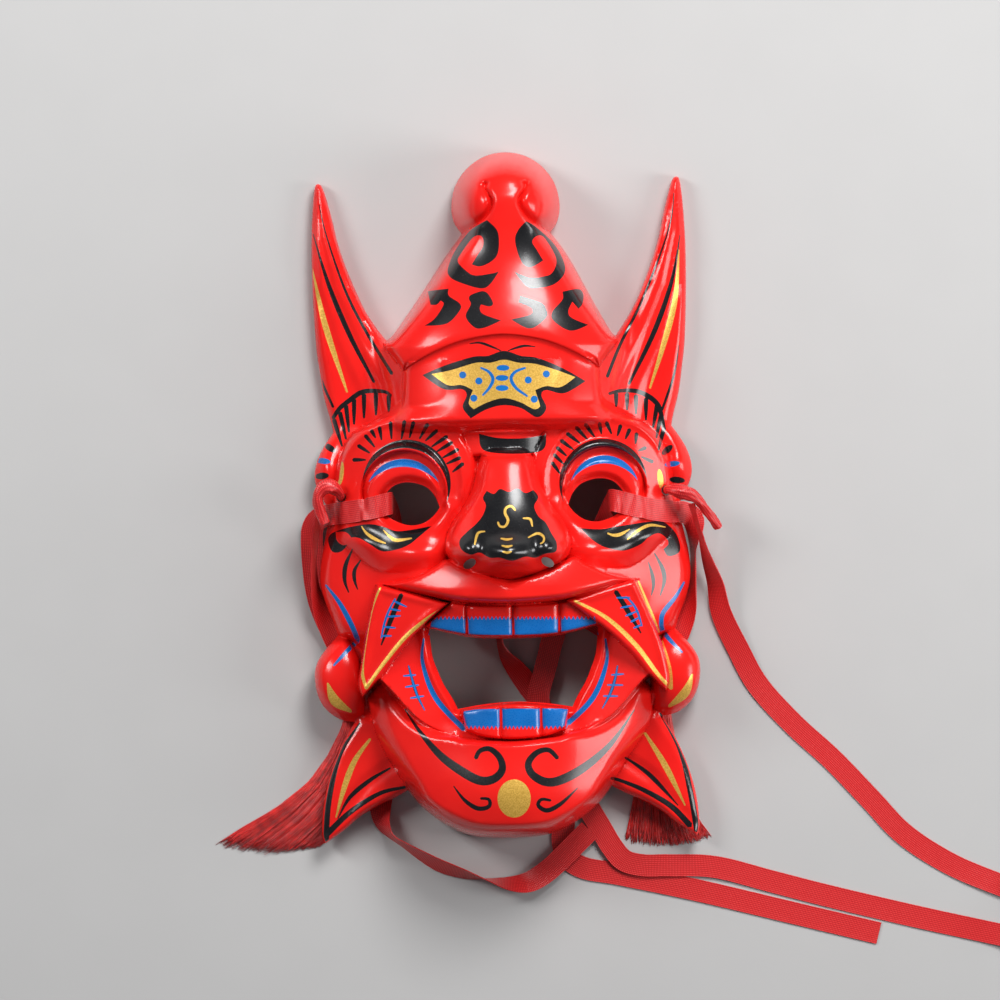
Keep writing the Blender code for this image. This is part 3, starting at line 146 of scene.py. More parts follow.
LOBE = [(70.8, 86.3), (75.8, 80.9), (79.6, 75.4), (80.9, 69.6), (79.9, 62.0), (76.7, 55.7), (70.6, 51.1),
        (64.5, 49.8)]
FEATHER_OUTER = [(64.5, 49.8), (68.5, 43.2), (71.6, 36.9), (74.9, 28.5), (77.3, 20.1), (78.7, 11.7),
                 (79.1, 3.4), (78.0, -0.8)]
FEATHER_INNER = [(78.0, -0.8), (73.3, 2.3), (68.9, 5.4), (62.6, 10.5), (55.1, 14.7), (48.8, 17.6),
                 (42.7, 20.9)]
JAW_SIDE = [(42.7, 20.9), (37.3, 14.2), (30.0, 8.0), (20.9, 2.9), (12.6, 0.6), (0, 0)]

# Holes through the mask, right half
EYE_HOLE = [(26.8, 139.1), (28.9, 144.1), (32.7, 147.9), (39.4, 149.8), (45.3, 148.7), (49.0, 145.4),
            (51.1, 141.2), (50.3, 137.4), (45.3, 133.7), (39.0, 131.8), (33.5, 132.8), (29.3, 135.8)]
MOUTH_TOP = [(0, 83.8), (18.9, 84.8), (33.0, 88.2), (35.3, 88.0)]
MOUTH_SIDE = [(35.3, 88.0), (34.8, 83.0), (33.9, 76.3), (31.8, 70.4), (29.7, 65.4), (26.0, 59.1),
              (23.9, 54.8)]
MOUTH_BOTTOM = [(23.9, 54.8), (12.6, 56.6), (0, 57.4)]
NOSTRIL_PLACE = (16.2, 115.4)
NOSTRIL_SIZE = (2.9, 1.8)
NOSTRIL_TURN = math.radians(-32)
NOSTRIL_GIRTH = 14
TIE_HOLE_PLACE = (68.0, 144.2)
TIE_HOLE_GIRTH = 13

# Raised parts of the face, right half; a run that starts and ends at x = 0 crosses the middle
HAT_STEM = [(0, 276.0), (8.3, 272.6), (5.4, 266.6), (7.0, 261.4), (11.4, 257.2), (18.6, 253.4)]
HAT_BRIM = [(48.0, 209.5), (49.0, 206.8), (44.8, 201.5), (41.1, 196.1)]
BRIM_RIDGE = [(41.1, 196.1), (33.1, 201.1), (24.3, 205.3), (14.7, 208.4), (0, 210.3)]
FOREHEAD_HEAD = [(0, 216.0), (30.0, 208.0), (41.1, 196.1)]
FOREHEAD_SIDE = [(41.1, 196.1), (41.6, 187.0), (41.5, 176.0)]
FOREHEAD_FOOT = [(41.5, 176.0), (31.4, 173.4), (16.8, 172.0), (0, 173.0)]
CURL_CREASE = [(8.3, 272.6), (5.4, 266.6), (7.0, 261.4), (11.4, 257.2), (18.6, 253.4)]
ORBIT = [(25.1, 116.5), (31.6, 113.6), (44.0, 112.3), (52.5, 113.0), (58.8, 116.5), (64.2, 121.5),
         (69.5, 126.0), (71.5, 133.0), (70.6, 150.0), (68.0, 163.0), (60.0, 173.0), (40.0, 178.5),
         (20.0, 172.0), (12.0, 160.0), (13.5, 147.0), (20.0, 128.0), (25.1, 116.5)]
NOSE = [(0, 163.0), (9.0, 162.2), (12.0, 156.0), (14.4, 146.8), (19.0, 138.5), (23.3, 132.5), (26.0, 126.0),
        (26.0, 119.8), (22.6, 115.2), (17.6, 112.4), (9.5, 109.0), (0, 107.4)]
LIP_TOP = [(0, 108.5), (6.3, 109.4), (12.6, 111.5), (18.9, 114.0), (26.2, 117.6), (31.6, 114.6),
           (39.2, 110.8), (47.0, 108.6), (53.8, 107.5)]
LIP_FOOT = [(53.8, 107.5), (46.5, 104.8), (35.6, 101.8), (25.1, 99.3), (16.8, 98.2), (0, 97.4)]
TUSK_OUTER = [(53.8, 107.7), (58.2, 95.5), (62.0, 83.0), (64.3, 72.5), (65.2, 65.2), (63.5, 60.2)]
TUSK_INNER = [(63.5, 60.2), (56.4, 67.3), (50.2, 75.2), (42.8, 83.4), (34.6, 91.0), (24.0, 99.3)]
TUSK_HEAD = [(24.0, 99.3), (38.0, 103.4), (53.8, 107.7)]
UPPER_GUM = [(0, 98.4), (16.8, 98.8), (25.5, 100.2)]
UPPER_TEETH_SIDE = [(25.5, 100.2), (36.2, 90.8), (34.9, 88.4)]
UPPER_TEETH_FOOT = [(34.9, 88.4), (18.9, 85.0), (0, 84.0)]
LOWER_TEETH_RUNS = ([(0, 57.2), (22.9, 54.6)], [(22.9, 54.6), (20.9, 45.6)],
                    [(20.9, 45.6), (12.6, 42.7), (0, 41.6)])
BRIDGE_RUNS = ([(0, 175.0), (18.0, 175.0)], [(18.0, 175.0), (15.0, 160.0)], [(15.0, 160.0), (0, 160.0)])
MOUTH_HOLLOW = ([(0, 99.0), (24.0, 99.5)], [(24.0, 99.5), (40.0, 95.0), (52.0, 82.0), (59.0, 70.0)],
                [(59.0, 70.0), (52.0, 63.0), (46.0, 56.0), (40.0, 50.0), (32.0, 45.5), (20.0, 42.0),
                 (0, 40.5)])
FEATHER_CREASE = [(46.0, 34.0), (60.0, 24.0), (76.0, 4.0)]
JAW_TOP = [(0, 41.4), (18.0, 42.6), (23.9, 44.4), (32.3, 46.8), (40.6, 51.8), (46.9, 58.4), (52.0, 66.2),
           (56.5, 64.5), (60.5, 59.5)]
JAW_OUTER = [(60.5, 59.5), (57.6, 47.3), (53.2, 38.2), (48.6, 31.0), (42.7, 21.5), (37.3, 12.0), (20.0, -6.0),
             (0, -8.0)]
EAR_LOBE = [(70.8, 86.3), (78.0, 84.0), (84.0, 70.0), (80.0, 54.0), (70.0, 47.0), (61.0, 52.0), (60.5, 70.0),
            (66.0, 84.5), (70.8, 86.3)]

# Places that follow the axis of the worn face, and how far the hand-made parts stand off it
EYE_DISC = (42.6, 149.2)
EYE_DISC_RADIUS = 27.0
LID_FOLD = (41.1, 148.5, 18.4)
LID_STEP = (41.8, 145.3, 18.0)
LID_EDGE = (42.2, 142.9, 15.9)
CROWN_SHIFT = 3.3
NOSE_SHIFT = 1.4
LIP_SHIFT = 2.0
MOUTH_SHIFT = 2.9
TUSK_SHIFT = 2.6
JAW_SHIFT = 1.4
UPPER_TEETH_GAPS = (-16.5, 2.8, 22.1)
LOWER_TEETH_GAPS = (-3.1, 13.6)

# Widths of the rounded edges of the raised parts, and the shares of them at which guides run
HAT_EDGE = 3.0
FOREHEAD_EDGE = 3.4
BRIM_EDGE = 1.5
NOSE_EDGE = 2.6
LIP_EDGE = 1.6
BRIDGE_EDGE = 1.5
TUSK_EDGE = 1.2
TEETH_EDGE = 1.6
JAW_EDGE = 2.6
LOBE_EDGE = 3.0
ORBIT_EDGE = 3.2
GUIDE_SHARES = (0.0, 0.05, 0.22, 0.55, 1.0)

# Lines across a horn, as x at six heights from its base to its tip: pleats run between them
HORN_HEIGHTS = (172.0, 191.0, 210.0, 231.0, 253.0, 276.0)
HORN_PLEATS = (
    (40.5, 42.5, 48.0, 60.5, 67.8, 74.0),
    (45.5, 48.0, 54.0, 63.5, 70.4, 74.4),
    (48.5, 53.2, 61.8, 70.4, 74.9, 74.9),
    (58.0, 63.0, 71.0, 76.0, 77.0, 75.2),
    (74.0, 77.5, 79.6, 80.6, 80.0, 77.4),
)

# Stations of the two ribbons, in millimetres from the origin: x, y and height of the ribbon's middle,
# then, if need be, how far its width leans out of level and which way its width points, in degrees.
# A height of None lies on the face. Without a lean the width is level, and without a direction it is
# square to the run.
LEVEL_AND_SQUARE = (0, None)
RIGHT_ROUTE = [
    (78.4, 137.0, 19.5, 75), (80.6, 129.0, 19.0, 80), (82.8, 121.0, 15.0, 80), (85.0, 113.0, 10.0, 66),
    (88.0, 103.0, 5.6, 46), (90.3, 90.5, 3.2, 25), (97.0, 75.5, 1.6, 10), (105.2, 59.9, 0.6),
    (119.5, 43.5, 0.5), (135.6, 28.2, 0.5), (151.0, 11.5, 0.5), (165.1, -3.8, 0.5), (184.0, -16.5, 0.5),
    (204.4, -25.6, 1.2), (218.0, -30.4, 3.9, 35), (228.0, -35.6, 5.0, 80), (231.5, -42.0, 5.0, 88),
    (227.0, -48.0, 5.0, 80), (216.0, -49.6, 3.9, 35), (204.0, -46.6, 1.2), (170.0, -38.5, 0.5),
    (134.5, -29.4, 0.5), (110.0, -22.6, 0.6), (85.7, -15.8, 1.0), (66.0, -14.6, 1.6), (55.5, -14.4, 1.8),
    (47.4, -12.2, 1.8), (42.4, -6.5, 1.8), (37.8, 1.6, 1.8), (31.9, 12.1, 1.8), (26.0, 24.0, 2.0),
    (19.5, 38.0, 2.8), (14.0, 50.0, 3.8), (12.8, 58.0, 4.4), (15.7, 68.5, 4.6), (19.4, 81.8, 4.6),
    (24.0, 95.0, 4.8), (31.0, 110.0, 6.0), (38.0, 122.0, 12.5), (42.5, 130.5, 20.0, 0, -232),
    (43.8, 137.2, 26.0, 0, -262), (44.4, 139.0, 30.4, 0, -270), (47.2, 138.6, 34.0, 0, -270),
    (51.5, 137.4, None, 0, -270), (57.0, 136.0, None, 0, -270), (63.5, 134.6, None, 0, -270),
    (69.6, 133.8, None, 0, -270), (75.6, 133.2, 12.8, 0, -272), (78.8, 131.0, 6.6, 6, -310),
    (79.6, 126.0, 5.0, 40, -345), (79.0, 118.0, 5.0, 76, -360), (78.7, 110.0, 6.4, 76, -362),
    (77.8, 101.0, 5.4, 64, -368), (76.2, 94.0, 4.2, 38, -374), (73.5, 86.0, 3.4, 8, -385),
    (70.0, 79.5, 3.0, 0, -405), (63.0, 76.2, 1.8), (50.0, 80.0, 1.0), (34.0, 90.0, 0.8),
    (18.0, 96.5, 1.0), (6.0, 95.0, 2.6, 25), (-1.5, 88.5, 4.4, 55), (-3.0, 81.5, 5.0, 75),
    (-1.0, 75.5, 4.6, 62), (4.0, 68.6, 2.8, 28), (8.8, 61.6, 0.9, 4), (13.0, 55.0, 0.5),
    (17.0, 40.0, 0.5), (20.0, 24.0, 0.5), (22.5, 8.0, 0.5), (21.6, -3.4, 0.5), (24.0, -10.8, 0.5),
    (31.0, -15.2, 0.5), (45.4, -18.0, 0.5), (78.7, -25.6, 0.5), (120.4, -36.4, 0.5), (153.5, -45.0, 0.5),
]
LEFT_ROUTE = [
    (-77.6, 145.0, 20.6, -78), (-77.4, 140.5, 20.2, -78), (-77.8, 134.5, 18.6, -78),
    (-79.2, 125.4, 12.8, -78), (-80.2, 114.0, 8.6, -78), (-79.8, 105.0, 6.2, -70),
    (-78.0, 97.0, 4.9, -45), (-74.8, 89.5, 3.8, -15), (-71.0, 81.0, 3.2), (-66.0, 74.5, 2.6),
    (-59.5, 72.0, 2.0), (-53.5, 76.5, 1.4), (-51.0, 88.0, 1.0), (-49.5, 104.0, 1.0), (-48.2, 118.0, 3.0),
    (-47.2, 128.0, 9.0, 0, 205), (-46.8, 135.0, 17.5, 0, 240), (-46.6, 139.0, 25.0, 0, 266),
    (-46.8, 139.8, 29.8, 0, 270), (-48.8, 139.4, 32.8, 0, 270), (-53.0, 138.4, None, 0, 270),
    (-59.0, 137.2, None, 0, 270), (-65.0, 136.4, None, 0, 270), (-70.5, 135.8, None, 0, 270),
    (-75.2, 134.8, 11.6, 0, 275), (-78.4, 133.2, 6.4, 0, 300), (-80.4, 129.8, 3.2, 0, 335),
    (-80.9, 124.5, 1.6, 0, 355), (-80.6, 115.0, 0.8, 0, 361), (-79.6, 105.0, 0.7, 0, 367),
    (-77.6, 96.5, 0.7, 0, 378), (-73.9, 87.5, 0.7, 0, 386), (-69.0, 78.5, 0.7, 0, 391),
    (-61.5, 66.0, 0.6), (-55.0, 53.0, 0.6), (-52.0, 40.0, 0.6), (-52.2, 27.0, 0.6), (-53.8, 17.0, 0.8, 4),
    (-54.4, 11.0, 2.4, 22), (-53.2, 5.0, 4.2, 52), (-50.0, 0.0, 4.9, 76), (-44.5, -3.8, 4.9, 74),
    (-37.0, -8.7, 4.6, 62), (-29.5, -12.9, 4.3, 55), (-20.0, -16.3, 4.6, 65), (-10.4, -18.8, 5.0, 92),
    (-1.0, -20.8, 4.7, 125), (7.0, -20.4, 3.8, 155), (14.5, -16.2, 3.3, 174), (21.0, -10.6, 3.0, 180),
    (33.0, 1.0, 3.0, 180),
]
RIBBON_WIDTH = 9.2
RIBBON_THICKNESS = 0.36
RIBBON_STEP = 1.5
RIBBON_SPOTS = 9
FACE_GAP = 0.5

# Knots at the tie holes: stations of the rolled ribbon as x, y, height and radius, left and right
LEFT_KNOT = [(-68.0, 142.7, 10.0, 1.5), (-68.0, 142.7, 24.0, 1.5), (-68.8, 144.6, 27.4, 2.0),
             (-71.6, 147.0, 29.6, 3.0), (-75.4, 146.6, 30.4, 2.8), (-77.6, 143.0, 30.2, 2.2),
             (-77.0, 138.4, 29.4, 2.2), (-75.0, 132.0, 28.0, 2.2)]
RIGHT_KNOT = [(68.0, 142.7, 10.0, 1.5), (68.0, 142.7, 24.0, 1.5), (69.4, 143.0, 27.0, 2.0),
              (73.2, 142.2, 28.4, 3.0), (77.4, 141.0, 27.6, 2.8), (81.4, 138.0, 25.4, 2.0),
              (85.6, 132.4, 22.0, 1.9), (89.4, 127.0, 18.0, 1.9)]

KNOT_SIDES = 20

# Tassels: stations as both edges of the fan and its height
LEFT_TASSEL = [((-68.0, 54.0), (-63.0, 52.5), 3.0), ((-70.0, 46.0), (-61.5, 43.0), 3.2),
               ((-75.8, 35.0), (-63.0, 30.0), 3.2), ((-84.4, 23.5), (-65.5, 16.0), 3.2),
               ((-98.0, 13.0), (-69.5, 6.0), 3.0), ((-112.5, 5.0), (-75.0, 0.0), 2.2),
               ((-123.5, -2.0), (-80.0, -3.5), 1.0)]
RIGHT_TASSEL = [((62.5, 54.0), (67.5, 52.5), 3.0), ((60.0, 45.0), (69.0, 43.0), 3.2),
                ((56.0, 32.0), (71.0, 28.0), 3.2), ((52.5, 17.0), (75.0, 12.0), 3.2),
                ((50.0, 5.5), (79.0, 3.0), 2.6), ((48.2, -3.6), (83.5, -3.4), 1.0)]
TASSEL_SWELL = 3.0
TASSEL_THREADS = 560
THREAD_RADIUS = 0.25
THREAD_LIFT = 0.3

# Paint colours, as the places of their materials on the shell
RED, BLACK, BLUE, GOLD = range(4)

# Blue and gold stop where the surface turns down into a wall
WALL_LEVEL = 0.32

# Painted areas as closed outlines in the picture's pixels
HAT_SCROLLS = (
    [(487, 222), (497, 232), (499, 245), (497, 257), (490, 264), (480, 268), (472, 266), (478, 256),
     (483, 248), (483, 240), (479, 237), (472, 240), (461, 255), (458, 263), (466, 272), (475, 277),
     (492, 275), (499, 273), (490, 286), (481, 290), (463, 285), (451, 279), (448, 270), (456, 250),
     (470, 232)],
    [(526, 223), (518, 232), (515, 243), (521, 263), (530, 269), (543, 262), (537, 252), (532, 243),
     (538, 237), (545, 240), (556, 260), (552, 274), (543, 278), (530, 279), (514, 273), (525, 287),
     (535, 290), (555, 285), (565, 270), (555, 246), (535, 228)],
)
HAT_MARKS = (
    [(428, 292), (449, 290), (449, 297), (460, 305), (460, 312), (447, 325), (425, 327), (435, 320),
     (444, 306), (441, 302), (437, 306), (431, 306)],
    [(472, 296), (485, 293), (493, 304), (490, 308), (481, 306), (480, 311), (484, 316), (501, 322),
     (485, 329), (475, 329), (466, 318), (471, 306), (469, 300)],
    [(520, 297), (541, 304), (546, 311), (546, 319), (530, 330), (511, 321), (530, 316), (532, 311),
     (528, 308), (518, 304)],
    [(562, 293), (578, 290), (583, 295), (582, 305), (578, 310), (572, 303), (568, 312), (571, 319),
     (588, 326), (570, 332), (553, 322), (552, 313), (562, 301)],
)
BUTTERFLY_EDGE = [(423, 376), (444, 367), (473, 358), (488, 357), (504, 352), (521, 357), (537, 359),
                  (562, 369), (585, 382), (564, 394), (546, 391), (541, 396), (546, 409), (537, 418),
                  (521, 409), (504, 406), (487, 410), (471, 419), (463, 408), (467, 396), (462, 390),
                  (444, 390)]
BUTTERFLY = [(432, 375), (452, 371), (476, 364), (490, 364), (504, 361), (519, 364), (535, 365), (556, 371),
             (575, 378), (560, 388), (546, 387), (535, 391), (540, 407), (534, 410), (520, 403), (504, 399),
             (488, 403), (474, 410), (469, 404), (473, 391), (462, 386), (448, 386)]
BUTTERFLY_DOTS = ((463, 376), (479, 382), (474, 399), (528, 381), (546, 375), (534, 400))
BUTTERFLY_BARS = ((503, 369), (502, 379), (502, 389))
BRIDGE_BAR = [(479, 434), (495, 438), (512, 439), (530, 438), (546, 435), (539, 452), (487, 452)]
UNDER_EYE_LEFT = [(328, 540), (331, 534), (337, 531), (350, 527), (370, 524), (385, 527), (400, 531),
                  (432, 526), (420, 536), (410, 544), (398, 549), (383, 551), (372, 545), (360, 538),
                  (350, 538), (347, 546), (340, 552), (332, 551)]
EYE_TONGUE_LEFT = [(336, 532), (346, 532), (352, 538), (350, 543), (343, 545), (337, 540)]
UNDER_EYE_RIGHT = [(580, 528), (600, 529), (612, 527), (625, 525), (645, 522), (660, 521), (668, 525),
                   (676, 534), (680, 546), (678, 553), (668, 556), (663, 549), (668, 544), (666, 538),
                   (658, 533), (648, 537), (640, 544), (625, 550), (612, 549), (600, 545), (590, 538)]
NOSE_PATCH = [(487, 491), (494, 494), (500, 489), (509, 492), (517, 488), (525, 493), (533, 490), (538, 497),
              (534, 506), (538, 516), (545, 522), (551, 533), (556, 542), (555, 551), (545, 553), (535, 557),
              (525, 556), (512, 560), (500, 557), (490, 557), (480, 552), (471, 554), (462, 549), (460, 540),
              (468, 531), (476, 524), (483, 515), (486, 505), (483, 498)]
CHIN_DOT = ((514, 796), (16.5, 19.0))
EAR_MARKS = (
    (BLACK, (330, 448), (7.0, 3.2), 35), (BLUE, (323, 461), (8.0, 3.0), 8),
    (BLACK, (322, 476), (7.0, 3.4), -5), (GOLD, (341, 473), (3.2, 12.0), 5),
    (BLACK, (667, 450), (7.0, 3.2), -40), (BLUE, (672, 464), (8.0, 2.8), -8),
    (BLACK, (677, 480), (8.0, 3.2), 5), (GOLD, (660, 479), (3.0, 10.0), -8),
)

# Brush strokes: their colour, points along the middle, and width at the start, middle and end, in pixels
HORN_STROKES = (
    (BLACK, [(319, 205), (327, 238), (345, 290), (365, 330), (392, 374)], (0.8, 2.6, 3.4)),
    (BLACK, [(313, 234), (329, 286), (350, 336), (374, 382)], (0.8, 5.0, 3.0)),
    (GOLD, [(312, 268), (325, 325), (347, 392)], (1.0, 6.0, 2.0)),
    (BLACK, [(311, 339), (318, 372), (333, 407)], (0.8, 2.6, 2.6)),
    (BLACK, [(674, 193), (671, 220), (660, 255), (640, 305), (620, 345), (607, 377)], (0.8, 2.6, 3.4)),
    (BLACK, [(680, 235), (672, 280), (655, 330), (629, 384)], (0.8, 5.0, 3.0)),
    (GOLD, [(679, 250), (675, 300), (662, 350), (650, 388)], (1.0, 6.0, 2.0)),
    (BLACK, [(679, 345), (674, 375), (662, 410)], (0.8, 2.6, 2.6)),
)
BROW_COMBS = (
    (BLACK, [(391, 396), (385, 392), (370, 391), (360, 393), (350, 400), (340, 408), (333, 418)],
     (3.0, 5.0, 4.0)),
    (BLACK, [(609, 394), (620, 391), (635, 391), (648, 396), (658, 405), (662, 418), (664, 430)],
     (3.0, 5.0, 4.0)),
)
COMB_TEETH_LEFT = ((389, 396, 389, 412), (376, 393, 376, 415), (364, 395, 364, 418), (354, 400, 354, 424),
                   (346, 406, 349, 432), (340, 413, 346, 439), (334, 420, 342, 446))
COMB_TEETH_RIGHT = ((616, 394, 616, 407), (627, 394, 627, 410), (636, 396, 636, 414), (646, 399, 646, 420),
                    (657, 406, 653, 428), (661, 416, 656, 438), (664, 428, 658, 450))
COMB_TOOTH_WIDTH = (4.6, 4.0, 2.0)
LASHES_LEFT = ((354, 460, 366, 460), (359, 446, 370, 453), (366, 436, 375, 447), (372, 431, 376, 438),
               (380, 428, 382, 440), (391, 423, 392, 439), (405, 422, 402, 439), (414, 423, 410, 438),
               (428, 425, 420, 439), (437, 431, 426, 441), (447, 437, 432, 447), (452, 443, 437, 452),
               (458, 450, 443, 458), (460, 458, 447, 464), (463, 464, 453, 472))
LASHES_RIGHT = ((552, 463, 560, 474), (554, 455, 563, 464), (557, 448, 566, 456), (561, 441, 573, 450),
                (567, 434, 580, 444), (576, 428, 587, 440), (585, 425, 594, 437), (599, 424, 601, 434),
                (606, 423, 611, 434), (620, 426, 617, 436), (629, 430, 625, 439), (636, 434, 635, 444),
                (645, 448, 638, 451), (652, 462, 641, 457))
LASH_WIDTH = (4.0, 3.4, 1.6)
SMALL_STROKES = (
    (BLACK, [(470, 345), (480, 344), (492, 348), (501, 352)], (1.0, 2.6, 1.0)),
    (BLACK, [(508, 352), (516, 349), (525, 347), (535, 348)], (1.0, 2.6, 1.0)),
    (BLUE, [(481, 369), (489, 373), (493, 380), (490, 388), (483, 396)], (2.0, 3.4, 2.0)),
    (BLUE, [(525, 369), (515, 373), (511, 380), (516, 389), (527, 397)], (2.0, 3.4, 2.0)),
    (GOLD, [(362, 526), (367, 533), (376, 539), (386, 543)], (1.0, 3.4, 1.4)),
    (GOLD, [(384, 530), (390, 536), (397, 540), (412, 538)], (1.0, 3.4, 1.4)),
    (GOLD, [(607, 533), (613, 535), (620, 534), (629, 529)], (1.4, 3.4, 1.0)),
    (GOLD, [(627, 539), (638, 530), (650, 525), (665, 527)], (1.4, 3.2, 1.0)),
    (BLACK, [(353, 549), (346, 565), (345, 580), (349, 592)], (1.4, 4.6, 1.4)),
    (BLACK, [(361, 560), (355, 570), (355, 580), (358, 589)], (1.2, 4.0, 1.2)),
    (BLACK, [(654, 553), (662, 568), (664, 580), (660, 595)], (1.4, 4.6, 1.4)),
    (BLACK, [(648, 562), (652, 575), (653, 585), (651, 595)], (1.2, 4.0, 1.2)),
    (BLUE, [(326, 585), (340, 603), (352, 625), (358, 640)], (2.0, 5.0, 5.0)),
    (BLUE, [(358, 640), (348, 650), (334, 665)], (5.0, 4.0, 2.0)),
    (BLUE, [(684, 582), (675, 597), (663, 612), (661, 622), (662, 630)], (2.0, 4.6, 4.6)),
    (BLUE, [(662, 630), (670, 640), (682, 652)], (4.6, 4.0, 2.0)),
    (GOLD, [(515, 510), (511, 506), (506, 508), (505, 513), (508, 520), (505, 526), (500, 526), (498, 522)],
     (2.0, 2.8, 2.0)),
    (GOLD, [(501, 538), (507, 539), (512, 538)], (1.6, 2.4, 1.6)),
    (GOLD, [(502, 545), (507, 546), (512, 545)], (1.6, 2.4, 1.6)),
    (GOLD, [(503, 551), (507, 552), (511, 551)], (1.6, 2.4, 1.6)),
    (GOLD, [(485, 531), (478, 533), (475, 544)], (1.4, 2.6, 1.4)),
    (GOLD, [(523, 518), (530, 519), (532, 526)], (1.4, 2.6, 1.4)),
    (GOLD, [(528, 537), (537, 533), (543, 536), (543, 541), (540, 543)], (1.4, 2.6, 1.4)),
)
TUSK_STROKES = (
    (GOLD, [(382, 585), (373, 607), (366, 641), (363, 670), (367, 687)], (1.8, 3.0, 3.2)),
    (GOLD, [(367, 687), (383, 664), (406, 636), (430, 616), (450, 604)], (3.2, 4.0, 2.4)),
    (GOLD, [(638, 581), (652, 615), (665, 652), (670, 671), (671, 688)], (1.8, 3.0, 3.2)),
    (GOLD, [(671, 688), (657, 673), (635, 644), (606, 617), (574, 600)], (3.2, 4.6, 2.4)),
    (BLUE, [(424, 638), (423, 662), (436, 697), (464, 728)], (2.0, 5.2, 5.2)),
    (BLUE, [(605, 638), (606, 662), (593, 696), (568, 722)], (2.0, 5.2, 5.2)),
)
STITCH_STROKES = (
    (BLACK, [(402, 594), (396, 608), (388, 628), (382, 644)], (4.4, 5.0, 1.4)),
    (BLACK, [(615, 591), (622, 602), (631, 617), (640, 632)], (4.4, 5.0, 1.4)),
    (BLUE, [(396, 598), (390, 609), (385, 623), (382, 637)], (1.6, 2.4, 1.6)),
    (BLUE, [(625, 596), (632, 603), (637, 612), (641, 625)], (1.6, 2.4, 1.6)),
    (BLACK, [(409, 665), (413, 680), (418, 695), (425, 709)], (1.8, 3.4, 1.4)),
    (BLACK, [(617, 665), (614, 680), (609, 694), (602, 707)], (1.8, 3.4, 1.4)),
    (BLUE, [(409, 665), (413, 680), (418, 695), (425, 709)], (1.2, 2.0, 1.0)),
    (BLUE, [(617, 665), (614, 680), (609, 694), (602, 707)], (1.2, 2.0, 1.0)),
)
STITCH_BARS = ((394, 600, 407, 606), (390, 608, 401, 610), (387, 616, 401, 615), (385, 626, 396, 627),
               (382, 635, 392, 635), (616, 597, 629, 597), (620, 607, 631, 605), (625, 615, 635, 611),
               (630, 621, 638, 617), (633, 627, 641, 624), (404, 675, 416, 674), (406, 686, 419, 684),
               (411, 697, 424, 695), (611, 674, 623, 673), (607, 684, 622, 684), (603, 695, 617, 695))
STITCH_WIDTH = (1.6, 2.2, 1.4)
CHIN_STROKES = (
    (BLACK, [(405, 708), (420, 730), (440, 753), (460, 768), (479, 778), (493, 777), (502, 768), (500, 756),
             (490, 747), (480, 749), (476, 756)], (1.0, 9.0, 4.0)),
    (BLACK, [(634, 709), (610, 743), (580, 768), (552, 780), (534, 774), (528, 762), (536, 751), (548, 748),
             (557, 756)], (1.0, 9.0, 4.0)),
    (BLACK, [(454, 784), (465, 798), (478, 806), (489, 804), (489, 797), (481, 796)], (1.0, 4.6, 2.6)),
    (BLACK, [(577, 786), (561, 801), (547, 808), (538, 803), (541, 797), (550, 798)], (1.0, 4.6, 2.6)),
)
EDGE_STROKES = (
    (GOLD, [(328, 683), (335, 700), (351, 711)], (2.0, 10.0, 3.0)),
    (GOLD, [(692, 674), (685, 692), (669, 706)], (2.0, 9.0, 3.0)),
    (BLACK, [(360, 723), (340, 755), (329, 800), (326, 840)], (2.0, 5.0, 6.0)),
    (BLACK, [(326, 835), (350, 812), (380, 793), (405, 787)], (6.0, 5.0, 3.0)),
    (BLACK, [(338, 818), (350, 797), (370, 780), (390, 768)], (1.0, 4.6, 2.0)),
    (GOLD, [(336, 817), (345, 785), (355, 760), (370, 739)], (1.4, 6.0, 2.6)),
    (BLACK, [(660, 713), (680, 750), (690, 790), (697, 830)], (2.0, 5.0, 6.0)),
    (BLACK, [(611, 777), (640, 788), (670, 805), (690, 825)], (3.0, 5.0, 6.0)),
    (BLACK, [(625, 757), (650, 775), (678, 805)], (2.0, 4.6, 1.0)),
    (GOLD, [(645, 733), (665, 765), (685, 805)], (2.6, 6.0, 1.4)),
)

# Crescents as an outer and an inner circle, and painted teeth as their ends, foot, top and gaps
BLACK_CRESCENTS = (((407, 484), 44.0, (405, 491.5), 43.0), ((603, 483), 44.0, (605, 490.5), 43.0))
BLUE_CRESCENTS = (((404, 497), 38.0, (404, 514), 47.0), ((604, 490), 34.5, (604, 504), 40.4))
UPPER_TOOTH_PAINT = ((433, 594), 634.0, 617.0, (467, 513, 559))
LOWER_TOOTH_PAINT = ((463, 568), 707.0, 726.0, (501, 541))

# Width of a painted tooth, how far its top goes up and down, and half the bare line at a gap
PAINT_TOOTH_WIDTH = 4.0
PAINT_TOOTH_HEIGHT = 2.0
BARE_LINE = 1.0

# How far a brush stroke runs on past its ends, as a share of half its width
STROKE_CAP = 0.8


def smooth(value):
    """Ease from 0 to 1."""
    value = np.clip(value, 0.0, 1.0)
    return value * value * (3.0 - 2.0 * value)


def dome(value):
    """Rise from 0 to 1 as the edge of a rounded solid does."""
    return np.sqrt(1.0 - (1.0 - np.clip(value, 0.0, 1.0)) ** 2)


def bump(distance, width):
    """A round swelling that fades out over its width."""
    return np.exp(-(distance / width) ** 2)


